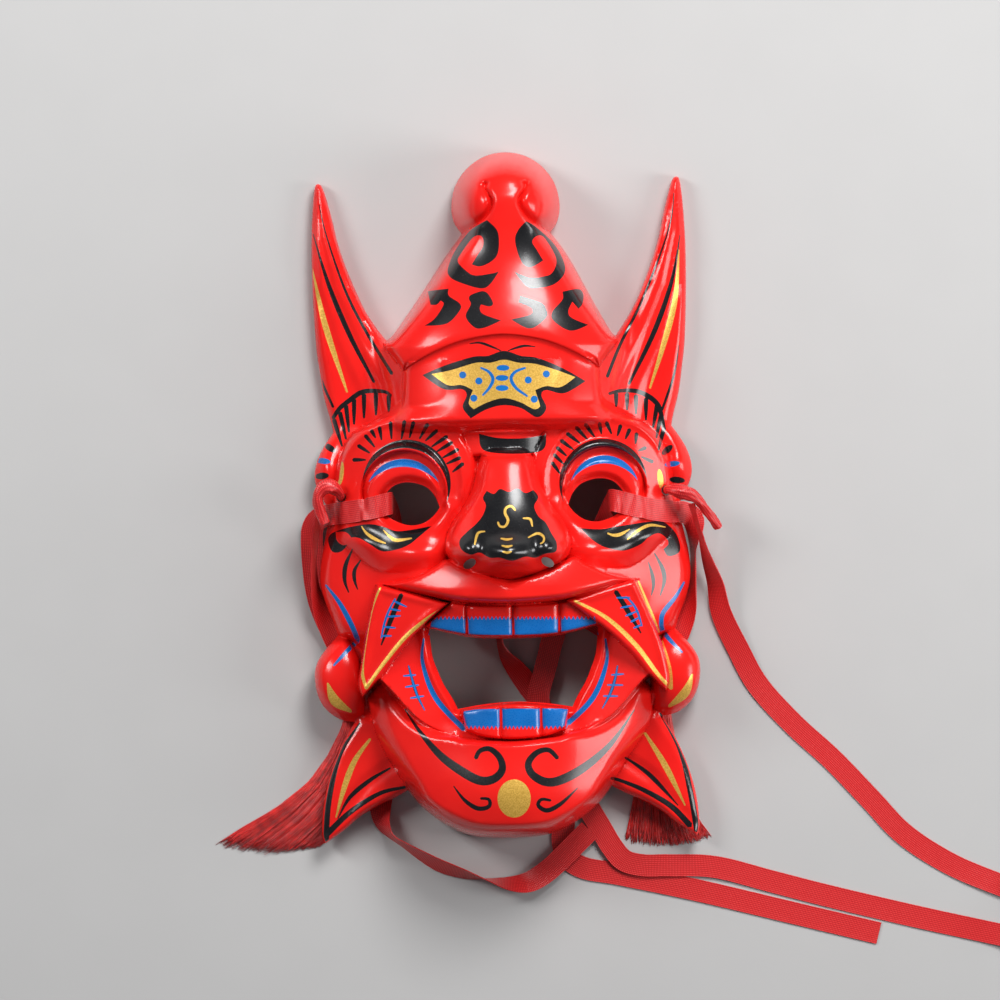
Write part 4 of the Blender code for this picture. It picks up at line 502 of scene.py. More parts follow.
def profile(value, places, heights):
    """Smooth curve through a few heights."""
    places = np.array(places, float)
    heights = np.array(heights, float)
    steps = np.diff(places)
    slopes = np.diff(heights) / steps
    tangents = np.concatenate(([slopes[0]], 0.5 * (slopes[1:] + slopes[:-1]), [slopes[-1]]))
    index = np.clip(np.searchsorted(places, value) - 1, 0, len(steps) - 1)
    share = np.clip((value - places[index]) / steps[index], 0.0, 1.0)
    rest = 1.0 - share
    pulls = tangents[index] * rest - tangents[index + 1] * share
    before = heights[index] * (1.0 + 2.0 * share) * rest ** 2
    after = heights[index + 1] * (1.0 + 2.0 * rest) * share ** 2
    return before + after + pulls * steps[index] * share * rest


def swell(u, y, place, size):
    """A round hill of height 1 that fades out over its size across and along."""
    return np.exp(-((u - place[0]) / size[0]) ** 2 - ((y - place[1]) / size[1]) ** 2)


def curve_weights(t):
    """Weights of four points that follow one another, at a share of the way between the middle two."""
    return (0.5 * (-t + 2 * t * t - t ** 3), 0.5 * (2 - 5 * t * t + 3 * t ** 3),
            0.5 * (t + 4 * t * t - 3 * t ** 3), 0.5 * (t ** 3 - t * t))


def smooth_rows(rows, step):
    """Rows of numbers with more rows in between, along a smooth curve through them all."""
    rows = np.array([rows[0]] + list(rows) + [rows[-1]], float)
    fine = []
    for four in zip(rows, rows[1:], rows[2:], rows[3:]):
        for t in np.arange(0, 1, step):
            fine.append(sum(weight * row for weight, row in zip(curve_weights(t), four)))
    return np.array(fine + [rows[-1]])


def run_lengths(points, weights=1.0):
    """Length of the way along a row of points up to each of them."""
    return np.concatenate(([0.0], np.cumsum(np.linalg.norm(np.diff(points, axis=0), axis=1) * weights)))


def run_curve(points, step):
    """A smooth curve through the points of one run, in equal steps; it crosses x = 0 squarely."""
    before = (-points[1][0], points[1][1]) if points[0][0] == 0 else points[0]
    after = (-points[-2][0], points[-2][1]) if points[-1][0] == 0 else points[-1]
    padded = [before] + list(points) + [after]
    fine = [points[0]]
    for four in zip(padded, padded[1:], padded[2:], padded[3:]):
        for part in range(1, CURVE_PARTS + 1):
            weights = curve_weights(part / CURVE_PARTS)
            fine.append(tuple(sum(w * p[axis] for w, p in zip(weights, four)) for axis in (0, 1)))
    lengths = [0.0]
    for a, b in zip(fine, fine[1:]):
        lengths.append(lengths[-1] + math.dist(a, b))
    count = max(2, round(lengths[-1] / step))
    marks = np.linspace(0, lengths[-1], count + 1)
    return list(zip(np.interp(marks, lengths, [p[0] for p in fine]),
                    np.interp(marks, lengths, [p[1] for p in fine])))


def joined(runs, step):
    """Runs that follow one another, as one line with a corner where two runs meet."""
    line = run_curve(runs[0], step)
    for run in runs[1:]:
        line += run_curve(run, step)[1:]
    return line


def inside_distance(line, x, y, reach=14.0):
    """Distance to a line, positive on the side that it encloses with x = 0, cut off at reach."""
    xs = [p[0] for p in line]
    ys = [p[1] for p in line]
    result = np.full(x.shape, -reach)
    near = (x > min(xs) - reach) & (x < max(xs) + reach) & (y > min(ys) - reach) & (y < max(ys) + reach)
    px = x[near]
    py = y[near]
    nearest = np.full(px.shape, 1e9)
    inside = np.zeros(px.shape, bool)
    for (ax, ay), (bx, by) in zip(line, line[1:]):
        ex = bx - ax
        ey = by - ay
        t = np.clip(((px - ax) * ex + (py - ay) * ey) / (ex * ex + ey * ey + 1e-12), 0.0, 1.0)
        nearest = np.minimum(nearest, (px - ax - t * ex) ** 2 + (py - ay - t * ey) ** 2)
        if ay != by:
            inside ^= ((ay > py) != (by > py)) & (px < ax + (py - ay) * ex / ey)
    result[near] = np.where(inside, 1.0, -1.0) * np.sqrt(nearest)
    return np.clip(result, -reach, 99.0)


def line_distance(line, x, y, reach=8.0):
    """Plain distance to a line."""
    return np.minimum(np.abs(inside_distance(line, x, y, reach)), reach)


OUTLINE_RUNS = (CROWN_CURL, HAT_SIDE, HORN, EAR_AND_CHEEK, LOBE, FEATHER_OUTER, FEATHER_INNER, JAW_SIDE)
MOUTH_RUNS = (MOUTH_TOP, MOUTH_SIDE, MOUTH_BOTTOM)
OUTLINE_LINE = joined(OUTLINE_RUNS, CARVING_STEP)
EYE_HOLE_LINE = run_curve(EYE_HOLE + EYE_HOLE[:1], CARVING_STEP)
MOUTH_LINE = joined(MOUTH_RUNS, CARVING_STEP)
CREASE_LINE = run_curve(CURL_CREASE, CARVING_STEP)
LOBE_LINE = run_curve(EAR_LOBE, CARVING_STEP)
ORBIT_LINE = run_curve(ORBIT, CARVING_STEP)
NOSE_LINE = run_curve(NOSE, CARVING_STEP)
BRIDGE_LINE = joined(BRIDGE_RUNS, CARVING_STEP)
FOREHEAD_LINE = joined((FOREHEAD_HEAD, FOREHEAD_SIDE, FOREHEAD_FOOT), CARVING_STEP)
HAT_LINE = joined((HAT_STEM, HAT_SIDE, HAT_BRIM, BRIM_RIDGE), CARVING_STEP)
BRIM_LINE = run_curve(BRIM_RIDGE, CARVING_STEP)
HOLLOW_LINE = joined(MOUTH_HOLLOW, CARVING_STEP)
UPPER_TEETH_LINE = joined((UPPER_GUM, UPPER_TEETH_SIDE, UPPER_TEETH_FOOT), CARVING_STEP)
LOWER_TEETH_LINE = joined(LOWER_TEETH_RUNS, CARVING_STEP)
LIP_LINE = joined((LIP_TOP, LIP_FOOT), CARVING_STEP)
LIP_FOOT_LINE = run_curve(LIP_FOOT, CARVING_STEP)
TUSK_LINE = joined((TUSK_OUTER, TUSK_INNER, TUSK_HEAD), CARVING_STEP)
JAW_LINE = joined((JAW_TOP, JAW_OUTER), CARVING_STEP)
JAW_SIDE_LINE = run_curve(JAW_OUTER, CARVING_STEP)


def crown_lean(x, y):
    """The curl and the top of the hat lean a little to one side."""
    return CROWN_SHIFT * smooth((y - 196.0) / 56.0) * (1.0 - smooth((np.abs(x) - 44.0) / 8.0))


def tusk_lean(y):
    """The tusks stand off the axis towards their tips."""
    return TUSK_SHIFT * smooth((112.0 - y) / 40.0)


def jaw_lean(y):
    """The top of the jaw stands off the axis, less than the mouth does."""
    return JAW_SHIFT * smooth((y - 30.0) / 20.0)


def rim_height(x, y):
    """The rim touches the table at the chin, the horns and the crown, and arches between them."""
    return RIM_LIFT * smooth((np.abs(x) - 12.5) / 18.0) * smooth((180.0 - y) / 30.0)


def laid_over(height, line, roof, width, u, y):
    """A raised part laid over what is below: it rises to its roof over an edge of some width."""
    inside = inside_distance(line, u, y)
    rise = np.maximum(roof - height, 0.0) * dome(inside / width)
    return np.where(inside > 0.0, height + rise, height)


def horn_surface(u, y):
    """Flat horn with four pleats that run together at its tip."""
    lines = [np.interp(y, HORN_HEIGHTS, row) for row in HORN_PLEATS]
    pleat = np.zeros(u.shape)
    for low, high in zip(lines, lines[1:]):
        pleat += np.clip((u - low) / np.maximum(high - low, 0.2), 0.0, 1.0)
    width = np.clip((lines[-1] - lines[0]) / 16.0, 0.15, 1.0)
    waves = 1.0 * np.sin(math.pi * pleat) ** 2 * width
    return 8.6 + 4.2 * width - 1.0 * pleat * width + waves


def border_surface(u, y, rim):
    """Horns above, ears beside the eyes, and feathers below."""
    ear = 11.5 + 5.0 * swell(u, y, (72.5, 155.0), (5.5, 9.0))
    side = ear + (10.0 - ear) * smooth((140.0 - y) / 10.0)
    crease = line_distance(FEATHER_CREASE, u, y)
    feather = 8.8 + 1.2 * smooth(crease / 5.0) + 0.6 * rim
    low = side + (feather - side) * smooth((56.0 - y) / 8.0)
    return low + (horn_surface(u, y) - low) * smooth((y - 168.0) / 7.0)


def hat_surface(u, y):
    """Tall hat: a rounded ridge from the curl down to the brim."""
    ridge = profile(y, (196.0, 208.0, 222.0, 234.0, 245.0, 253.0, 260.0, 267.0, 272.0, 278.0),
                    (51.5, 51.5, 48.6, 44.8, 42.4, 42.2, 43.6, 44.2, 42.4, 38.0))
    half = profile(y, (206.0, 213.0, 227.0, 243.0, 253.0, 262.0, 272.0),
                   (49.0, 45.5, 36.5, 26.8, 23.0, 22.0, 24.0))
    share = np.minimum(u / half, 1.2)
    return ridge * (1.0 - 0.20 * share ** 2 - 0.20 * share ** 5)


def curl_surface(u, y):
    """Ball of hair at the crown that rolls in behind its stem on both sides."""
    span = np.minimum(np.hypot(u, y - 264.6) / 22.8, 1.0)
    ball = 6.0 + 37.5 * (1.0 - span ** 2.8) ** 0.55
    crease = line_distance(CREASE_LINE, u, y)
    return ball - 3.4 * bump(crease, 1.7)


def orbit_surface(u, y):
    """Eye disc with its folded lid, and the cheek that swells below it."""
    disc = 34.6 - 0.25 * (u - 42.9) - 0.022 * np.maximum(u - 52.0, 0.0) ** 2
    from_disc = np.hypot(u - EYE_DISC[0], y - EYE_DISC[1])
    upper = smooth((y - 138.0) / 7.0)
    rim = 1.1 * bump(from_disc - EYE_DISC_RADIUS + 1.2, 1.3)
    fold = LID_FOLD[2] - np.hypot(u - LID_FOLD[0], y - LID_FOLD[1])
    step = LID_STEP[2] - np.hypot(u - LID_STEP[0], y - LID_STEP[1])
    edge = LID_EDGE[2] - np.hypot(u - LID_EDGE[0], y - LID_EDGE[1])
    lid = 3.2 * smooth(fold / 2.6) - 4.4 * smooth((step + 0.3) / 1.3) + 2.6 * smooth((edge + 0.6) / 2.4)
    from_hole = -inside_distance(EYE_HOLE_LINE, u, y, 20.0)
    sink = -3.4 * (1.0 - smooth(from_hole / 3.6))
    lower = (1.0 - upper) * 1.5 * bump(from_hole - 4.4, 3.4)
    cheek = 9.0 * swell(u, y, (37.0, 118.5), (15.0, 8.0))
    roll = 4.0 * swell(u, y, (61.0, 124.5), (9.0, 5.5))
    return disc + upper * (rim + lid) + sink + lower + cheek + roll


def nose_surface(u, y):
    """Broad nose with a rounded bridge, two wings and a round tip."""
    ridge = profile(y, (110.0, 112.5, 116.0, 121.0, 128.0, 138.0, 149.0, 158.0, 164.0),
                    (57.0, 63.5, 68.5, 70.0, 66.5, 60.5, 55.5, 51.5, 47.0))
    half = profile(y, (110.0, 115.0, 120.0, 126.0, 132.5, 138.5, 149.0, 163.0),
                   (23.5, 25.5, 27.5, 28.0, 25.5, 21.5, 16.6, 13.6))
    foot = profile(y, (110.0, 130.0, 164.0), (43.0, 41.0, 40.0))
    body = foot + (ridge - foot) * np.sqrt(np.maximum(1.0 - (u / half) ** 2, 0.0))
    tip = 6.0 * swell(u, y, (0.0, 119.5), (9.0, 7.0))
    wing = 5.0 * swell(u, y, (18.0, 121.5), (7.0, 7.5))
    crease = -2.0 * swell(u, y, (11.4, 120.0), (2.8, 7.5))
    nostril = -5.0 * swell(u, y, (NOSTRIL_PLACE[0], NOSTRIL_PLACE[1] - 0.6), (4.6, 3.0))
    return body + tip + wing + crease + nostril


def teeth_surface(x, gaps, roof):
    """A row of rounded teeth that part at the gaps."""
    nearest = np.full(x.shape, 99.0)
    for gap in gaps:
        nearest = np.minimum(nearest, np.abs(x - gap))
    return roof - 1.4 + 2.2 * dome((nearest - 0.4) / 2.4)


def upper_face(x, u, y, rim):
    """Border, eyes, forehead, hat, crown curl and nose."""
    height = border_surface(u, y, rim)
    half = profile(y, (4, 10, 22, 45, 60, 83, 88, 95, 118, 130, 150, 172, 184, 200),
                   (14, 26, 38, 48, 56, 64, 74, 78, 79, 76, 68, 60, 43, 40))
    body = 8.0 + 27.0 * np.sqrt(np.maximum(1.0 - (u / half) ** 2, 0.0))
    body += 9.0 * swell(u, y, (34.0, 112.0), (14.0, 9.0))
    body += 5.5 * swell(u, y, (14.0, 147.0), (7.0, 16.0))
    height = np.maximum(height, np.where(y < 200.0, body, 0.0))
    beside = smooth((y - 166.0) / 10.0) * smooth((218.0 - y) / 16.0)
    height = height + 17.0 * np.exp(-(np.maximum(u - 38.0, 0.0) / 11.0) ** 2) * beside
    lobe = 8.0 + 13.0 * np.sqrt(np.maximum(1.0 - ((u - 69.5) / 15.0) ** 2 - ((y - 68.0) / 19.0) ** 2, 0.0))
    height = laid_over(height, LOBE_LINE, lobe, LOBE_EDGE, u, y)
    edge = profile(y, (108.0, 128.0, 146.0), (15.0, 9.0, ORBIT_EDGE))
    height = laid_over(height, ORBIT_LINE, orbit_surface(u, y), edge, u, y)

    # Between the eyes: the forehead ends in a rounded edge over a ledge and a sunk bar
    bar = 44.0 - 0.020 * u * u + 2.0 * bump(y - 170.2, 1.1)
    between = laid_over(height, BRIDGE_LINE, bar, BRIDGE_EDGE, u, y)
    forehead = profile(y, (172.0, 180.0, 196.0, 214.0), (50.0, 50.6, 49.4, 48.0))
    forehead = forehead * (1.0 - 0.17 * (u / 41.5) ** 2 - 0.10 * (u / 41.5) ** 6)
    height = laid_over(between, FOREHEAD_LINE, forehead, FOREHEAD_EDGE, u, y)

    nose_at = np.abs(x - NOSE_SHIFT)
    edge = profile(y, (108.0, 132.0, 148.0, 164.0), (NOSE_EDGE, 3.0, 5.0, 5.0))
    height = laid_over(height, NOSE_LINE, nose_surface(nose_at, y), edge, nose_at, y)

    height = np.maximum(height, np.where(y > 238.0, curl_surface(u, y), 0.0))
    edge = profile(y, (205.0, 255.0, 262.0, 268.0, 276.0), (HAT_EDGE, HAT_EDGE, 1.6, 2.2, 6.0))
    height = laid_over(height, HAT_LINE, hat_surface(u, y), edge, u, y)
    ridge = line_distance(BRIM_LINE, u, y)
    return height + 1.1 * bump(ridge, 1.1) * smooth((43.0 - u) / 3.0)


def lower_face(height, x, u, y):
    """Mouth, teeth, lip, tusks and jaw, laid over the upper face."""
    mouth_at = np.abs(x - MOUTH_SHIFT)
    from_mouth = -inside_distance(MOUTH_LINE, mouth_at, y, 30.0)
    hollow = 31.5 + 0.30 * from_mouth + 2.6 * bump(from_mouth - 2.6, 1.8)
    in_hollow = inside_distance(HOLLOW_LINE, mouth_at, y)
    height = height + (hollow - height) * smooth(in_hollow / 2.0 + 0.5)

    upper = teeth_surface(x, UPPER_TEETH_GAPS, 48.0 - 0.0050 * mouth_at ** 2 - 0.10 * (98.0 - y))
    height = laid_over(height, UPPER_TEETH_LINE, upper, TEETH_EDGE, mouth_at, y)
    lower = teeth_surface(x, LOWER_TEETH_GAPS, 43.5 - 0.008 * mouth_at ** 2)
    height = laid_over(height, LOWER_TEETH_LINE, lower, TEETH_EDGE, mouth_at, y)

    lip_at = np.abs(x - LIP_SHIFT)
    lip = 59.5 - 0.0068 * lip_at ** 2 - 0.16 * np.maximum(y - 105.0, 0.0) - 0.010 * (y - 105.0) ** 2
    lip -= 2.6 * swell(lip_at, y, (0.0, 109.0), (3.4, 3.4))
    in_lip = inside_distance(LIP_LINE, lip_at, y)
    from_foot = line_distance(LIP_FOOT_LINE, lip_at, y)
    edge = dome(in_lip / LIP_EDGE) * dome(from_foot / 4.0)
    height = np.where(in_lip > 0.0, height + np.maximum(lip - height, 0.0) * edge, height)

    tusk_at = np.abs(x - tusk_lean(y))
    in_tusk = inside_distance(TUSK_LINE, tusk_at, y)
    tusk = 47.5 - 0.24 * (tusk_at - 30.0) + 0.05 * (y - 90.0) + 0.7 * bump(in_tusk - 2.2, 1.2)
    height = laid_over(height, TUSK_LINE, tusk, TUSK_EDGE, tusk_at, y)

    jaw = profile(y, (0.0, 5.0, 12.0, 24.0, 40.0, 60.0), (44.0, 46.4, 48.4, 49.6, 48.4, 47.0))
    jaw = jaw - 0.0078 * u ** 2 + 2.0 * swell(u, y, (0.0, 19.0), (18.0, 10.0))
    jaw_at = np.abs(x - jaw_lean(y))
    in_jaw = inside_distance(JAW_LINE, jaw_at, y)
    width = profile(jaw_at, (0.0, 22.0, 40.0, 60.0), (JAW_EDGE, JAW_EDGE, 5.5, 6.5))
    edge = np.minimum(dome(in_jaw / width), dome(line_distance(JAW_SIDE_LINE, jaw_at, y, 9.0) / 8.0))
    return np.where(in_jaw > 0.0, height + np.maximum(jaw - height, 0.0) * edge, height)


def face_height(x, y):
    """Height of the front of the mask above the table, in drawn millimetres."""
    u = np.abs(x - crown_lean(x, y))
    rim = rim_height(x, y)
    height = lower_face(upper_face(x, u, y, rim), x, u, y)
    edge = rim + RIM_EDGE
    width = profile(y, (0, 12, 22, 50, 170, 205, 215, 250, 290), (7.5, 7, 5, 4.4, 4.4, 4.6, 5.4, 8.0, 11.0))
    width = width + (4.4 - width) * smooth((y - 172.0) / 8.0) * smooth((u - 47.0) / 3.0)
    width = width + (3.2 - width) * smooth((46.0 - y) / 10.0) * smooth((u - 44.0) / 4.0)
    from_outline = inside_distance(OUTLINE_LINE, u, y, 30.0)
    return edge + (height - edge) * dome(from_outline / width)


def real_height(x, y):
    """Front height in real millimetres at a real place."""
    drawn_x = np.asarray(x, float) / SCALE_X
    drawn_y = (np.asarray(y, float) + CHIN_LAND) / SCALE_Y
    return face_height(drawn_x, drawn_y) * SCALE_Z


def real_points(x, y, z):
    """Drawn places as real ones in metres."""
    return np.stack((x * SCALE_X, y * SCALE_Y - CHIN_LAND, z * SCALE_Z), axis=1) * 0.001


def even_lean(shift):
    """A lean that is the same everywhere."""
    return lambda x, y: shift


def leaned(point, lean):
    """A half-drawn place set off by a lean that depends on where it stands."""
    x, y = point
    shifted = x
    for _ in range(LEAN_ROUNDS):
        shifted = x + float(lean(np.array(shifted), np.array(y)))
    return shifted, y


def both_halves(line, lean):
    """A half-drawn line and its mirror image, each set off by the lean."""
    return [leaned(p, lean) for p in line], [leaned((-p[0], p[1]), lean) for p in line]


def whole_outline(runs, step, lean):
    """Both halves of an outline that starts and ends on the middle line, anticlockwise."""
    right, left = both_halves(joined(runs, step), lean)
    return left + right[-2:0:-1]


def ellipse(place, size, turn, count):
    """Points round an ellipse."""
    points = []
    for index in range(count):
        angle = math.tau * index / count
        a = size[0] * math.cos(angle)
        b = size[1] * math.sin(angle)
        points.append((place[0] + a * math.cos(turn) - b * math.sin(turn),
                       place[1] + a * math.sin(turn) + b * math.cos(turn)))
    return points


def face_holes(step):
    """Every hole through the mask: mouth, eyes, nostrils and tie holes."""
    holes = [whole_outline(MOUTH_RUNS, step, even_lean(MOUTH_SHIFT))]
    eye = run_curve(EYE_HOLE + EYE_HOLE[:1], step)[:-1]
    nostril_count = max(HOLE_POINTS, round(NOSTRIL_GIRTH / step))
    nostril = ellipse(NOSTRIL_PLACE, NOSTRIL_SIZE, NOSTRIL_TURN, nostril_count)
    tie_radius = TIE_HOLE_DIAMETER / 2
    tie_count = max(HOLE_POINTS, round(TIE_HOLE_GIRTH / step))
    tie = ellipse(TIE_HOLE_PLACE, (tie_radius, tie_radius), 0.0, tie_count)
    for side in (-1, 1):
        holes.append([(side * x, y) for x, y in eye])
        holes.append([(side * x + NOSE_SHIFT, y) for x, y in nostril])
        holes.append([(side * x, y) for x, y in tie])
    return holes


def winding(loop, x, y):
    """How often a closed loop runs round each point."""
    turns = np.zeros(x.shape, int)
    for (ax, ay), (bx, by) in zip(loop, loop[1:] + loop[:1]):
        if ay == by:
            continue
        left_of = x < ax + (y - ay) * (bx - ax) / (by - ay)
        turns += ((ay <= y) & (by > y) & left_of).astype(int)
        turns -= ((ay > y) & (by <= y) & left_of).astype(int)
    return turns


def from_picture(points):
    """Places in the picture's pixels as drawn places on the mask."""
    places = []
    for px, py in points:
        across = px - PICTURE_SIZE / 2
        up = PICTURE_SIZE / 2 - py
        x = math.cos(PICTURE_ROLL) * across + math.sin(PICTURE_ROLL) * up
        y = math.cos(PICTURE_ROLL) * up - math.sin(PICTURE_ROLL) * across
        places.append((PICTURE_SCALE * x + VIEW_CENTRE[0], PICTURE_SCALE * y + VIEW_CENTRE[1] + CHIN_LAND))
    return places


def painted_shape(points):
    """A closed outline in pixels, rounded between its sharp corners."""
    count = len(points)
    corners = []
    for index in range(count):
        before = Vector(points[index]) - Vector(points[index - 1])
        after = Vector(points[(index + 1) % count]) - Vector(points[index])
        if before.angle(after) > PAINT_CORNER:
            corners.append(index)
    if not corners:
        return run_curve(points + points[:1], PAINT_STEP)[:-1]
    line = []
    for first, last in zip(corners, corners[1:] + [corners[0] + count]):
        run = [points[index % count] for index in range(first, last + 1)]
        line += run_curve(run, PAINT_STEP)[:-1]
    return line


def brush_stroke(points, widths):
    """The closed outline of a brush stroke with its width at the start, middle and end."""
    line = run_curve(points, PAINT_STEP)
    shares = np.linspace(0.0, 1.0, len(line))
    halves = 0.5 * profile(shares, (0.0, 0.5, 1.0), widths)
    ways = np.gradient(np.array(line), axis=0)
    ways /= np.linalg.norm(ways, axis=1)[:, None]
    sides = np.stack((-ways[:, 1], ways[:, 0]), axis=1) * halves[:, None]
    left = [tuple(p) for p in np.array(line) + sides]
    right = [tuple(p) for p in np.array(line) - sides]
    nose = tuple(np.array(line[-1]) + ways[-1] * halves[-1] * STROKE_CAP)
    tail = tuple(np.array(line[0]) - ways[0] * halves[0] * STROKE_CAP)
    return left + [nose] + right[::-1] + [tail]


def circle(place, radius):
    """Points round a circle in the picture, from its foot back to its foot."""
    angles = np.linspace(math.radians(-100), math.radians(280), 190)
    return [(place[0] + radius * math.cos(a), place[1] - radius * math.sin(a)) for a in angles]


def crescent(outer_place, outer_radius, inner_place, inner_radius):
    """The part of one circle that another one, set lower, leaves free."""
    outer = [p for p in circle(outer_place, outer_radius) if math.dist(p, inner_place) > inner_radius]
    inner = [p for p in circle(inner_place, inner_radius) if math.dist(p, outer_place) < outer_radius]
    return outer[::2] + inner[::-2]


def tooth_paint(ends, foot, top, gaps):
    """Painted band on a row of teeth: an even foot, a toothed top, and a bare line at each gap."""
    bounds = [ends[0]] + [g for gap in gaps for g in (gap - BARE_LINE, gap + BARE_LINE)] + [ends[1]]
    shapes = []
    for left, right in zip(bounds[::2], bounds[1::2]):
        count = max(2, round((right - left) / PAINT_TOOTH_WIDTH)) * 2
        edge = []
        for index in range(count + 1):
            tooth = PAINT_TOOTH_HEIGHT if index % 2 else -PAINT_TOOTH_HEIGHT
            edge.append((left + (right - left) * index / count, top + tooth))
        shapes.append([(left, foot)] + edge + [(right, foot)])
    return shapes


def painted_areas():
    """Every painted area with its colour, in the order in which they are laid on."""
    areas = [(BLACK, painted_shape(shape)) for shape in HAT_SCROLLS + HAT_MARKS]
    areas += [(BLACK, painted_shape(BUTTERFLY_EDGE)), (GOLD, painted_shape(BUTTERFLY))]
    areas += [(BLUE, ellipse(dot, (3.6, 3.6), 0.0, 10)) for dot in BUTTERFLY_DOTS]
    areas += [(BLUE, ellipse(bar, (6.5, 3.0), 0.0, 12)) for bar in BUTTERFLY_BARS]
    areas.append((BLACK, painted_shape(BRIDGE_BAR)))
    areas += [(BLACK, crescent(*shape)) for shape in BLACK_CRESCENTS]
    areas += [(BLUE, crescent(*shape)) for shape in BLUE_CRESCENTS]
    areas += [(BLACK, painted_shape(UNDER_EYE_LEFT)), (RED, painted_shape(EYE_TONGUE_LEFT))]
    areas += [(BLACK, painted_shape(UNDER_EYE_RIGHT)), (BLACK, painted_shape(NOSE_PATCH))]
    for colour, place, size, turn in EAR_MARKS:
        areas.append((colour, ellipse(place, size, math.radians(turn), 14)))
    strokes = HORN_STROKES + BROW_COMBS + SMALL_STROKES + TUSK_STROKES
    for colour, points, widths in strokes + STITCH_STROKES + CHIN_STROKES + EDGE_STROKES:
        areas.append((colour, brush_stroke(points, widths)))
    bars = ((BLACK, COMB_TEETH_LEFT + COMB_TEETH_RIGHT, COMB_TOOTH_WIDTH),
            (BLACK, LASHES_LEFT + LASHES_RIGHT, LASH_WIDTH), (BLUE, STITCH_BARS, STITCH_WIDTH))
    for colour, marks, widths in bars:
        for ax, ay, bx, by in marks:
            middle = (0.5 * (ax + bx), 0.5 * (ay + by))
            areas.append((colour, brush_stroke([(ax, ay), middle, (bx, by)], widths)))
    areas.append((GOLD, ellipse(*CHIN_DOT, 0.0, 44)))
    areas += [(BLUE, shape) for shape in tooth_paint(*UPPER_TOOTH_PAINT) + tooth_paint(*LOWER_TOOTH_PAINT)]
    return [(colour, from_picture(shape)) for colour, shape in areas]


def edge_room(loops, x, y):
    """Distance from the rim or a hole's edge, positive on the mask."""
    room = np.full(x.shape, 99.0)
    for index, loop in enumerate(loops):
        inside = winding(loop, x, y) != 0
        away = np.abs(inside_distance(loop + loop[:1], x, y, 40.0))
        room = np.minimum(room, np.where(inside == (index == 0), away, -away))
    return room


def kept_off_edges(shapes, loops):
    """Painted outlines with their points moved in from the rim and the holes."""
    x = np.array([p[0] for shape in shapes for p in shape])
    y = np.array([p[1] for shape in shapes for p in shape])
    for _ in range(MARGIN_ROUNDS):
        room = edge_room(loops, x, y)
        near = np.nonzero(room < PAINT_MARGIN)[0]
        slope_x = edge_room(loops, x[near] + PROBE, y[near]) - room[near]
        slope_y = edge_room(loops, x[near], y[near] + PROBE) - room[near]
        push = (PAINT_MARGIN - room[near]) / (np.hypot(slope_x, slope_y) + 1e-9)
        x[near] += push * slope_x
        y[near] += push * slope_y
    places = list(zip(x, y))
    ends = np.cumsum([len(shape) for shape in shapes])
    return [places[end - len(shape):end] for shape, end in zip(shapes, ends)]


def sorted_cells(points):
    """Points by the small square cell in which they lie."""
    cells = {}
    for x, y in points:
        cells.setdefault((int(x // CELL), int(y // CELL)), []).append((x, y))
    return cells


def set_apart(cells, points, place, gap):
    """Take a place as a point of the surface unless it lies within a gap of one that is there."""
    x, y = place
    column = int(x // CELL)
    row = int(y // CELL)
    for i in range(column - 2, column + 3):
        for j in range(row - 2, row + 3):
            for px, py in cells.get((i, j), ()):
                if (px - x) ** 2 + (py - y) ** 2 < gap * gap:
                    return False
    cells.setdefault((column, row), []).append((x, y))
    points.append((float(x), float(y)))
    return True


def relief_guides():
    """Points in rows along the foot and up the wall of every raised part."""
    middle = even_lean(0.0)
    mouth = even_lean(MOUTH_SHIFT)
    raised = (
        (HAT_LINE, crown_lean, HAT_EDGE), (FOREHEAD_LINE, crown_lean, FOREHEAD_EDGE),
        (BRIM_LINE, crown_lean, BRIM_EDGE), (NOSE_LINE, even_lean(NOSE_SHIFT), NOSE_EDGE),
        (LIP_LINE, even_lean(LIP_SHIFT), LIP_EDGE), (BRIDGE_LINE, middle, BRIDGE_EDGE),
        (TUSK_LINE, lambda x, y: tusk_lean(y), TUSK_EDGE), (UPPER_TEETH_LINE, mouth, TEETH_EDGE),
        (LOWER_TEETH_LINE, mouth, TEETH_EDGE), (JAW_LINE, lambda x, y: jaw_lean(y), JAW_EDGE),
        (LOBE_LINE, middle, LOBE_EDGE), (ORBIT_LINE, middle, ORBIT_EDGE),
    )
    guides = []
    for line, lean, width in raised:
        places = np.array(line)
        way = np.gradient(places, axis=0)
        way /= np.linalg.norm(way, axis=1)[:, None] + 1e-9
        for share in GUIDE_SHARES:
            least = share * width * 0.9 - 0.02
            for side in (-1, 1):
                moved = np.stack((places[:, 0] - side * way[:, 1] * share * width,
                                  places[:, 1] + side * way[:, 0] * share * width), axis=1)
                inside = inside_distance(line, moved[:, 0], moved[:, 1])
                row = [tuple(p) for p, depth in zip(moved, inside) if depth > least and p[0] >= 0]
                for half in both_halves(row, lean):
                    guides += half
                if share == 0.0:
                    break
    return guides


def middles_of(x, y, triangles):
    """The middle of each triangle."""
    return x[triangles].mean(axis=1), y[triangles].mean(axis=1)


def triangulated(points, edges, loops):
    """Triangles over the outline and round its holes, and where each given point went."""
    vertices, _, faces, origins, _, _ = delaunay_2d_cdt([Vector(p) for p in points], edges, [], 0, 1e-5)
    x = np.array([v.x for v in vertices])
    y = np.array([v.y for v in vertices])
    corners = np.array([list(f) for f in faces])
    middle_x, middle_y = middles_of(x, y, corners)
    kept = winding(loops[0], middle_x, middle_y) != 0
    for hole in loops[1:]:
        kept &= winding(hole, middle_x, middle_y) == 0
    place = {}
    for index, sources in enumerate(origins):
        for source in sources:
            place[source] = index
    return x, y, corners[kept], place


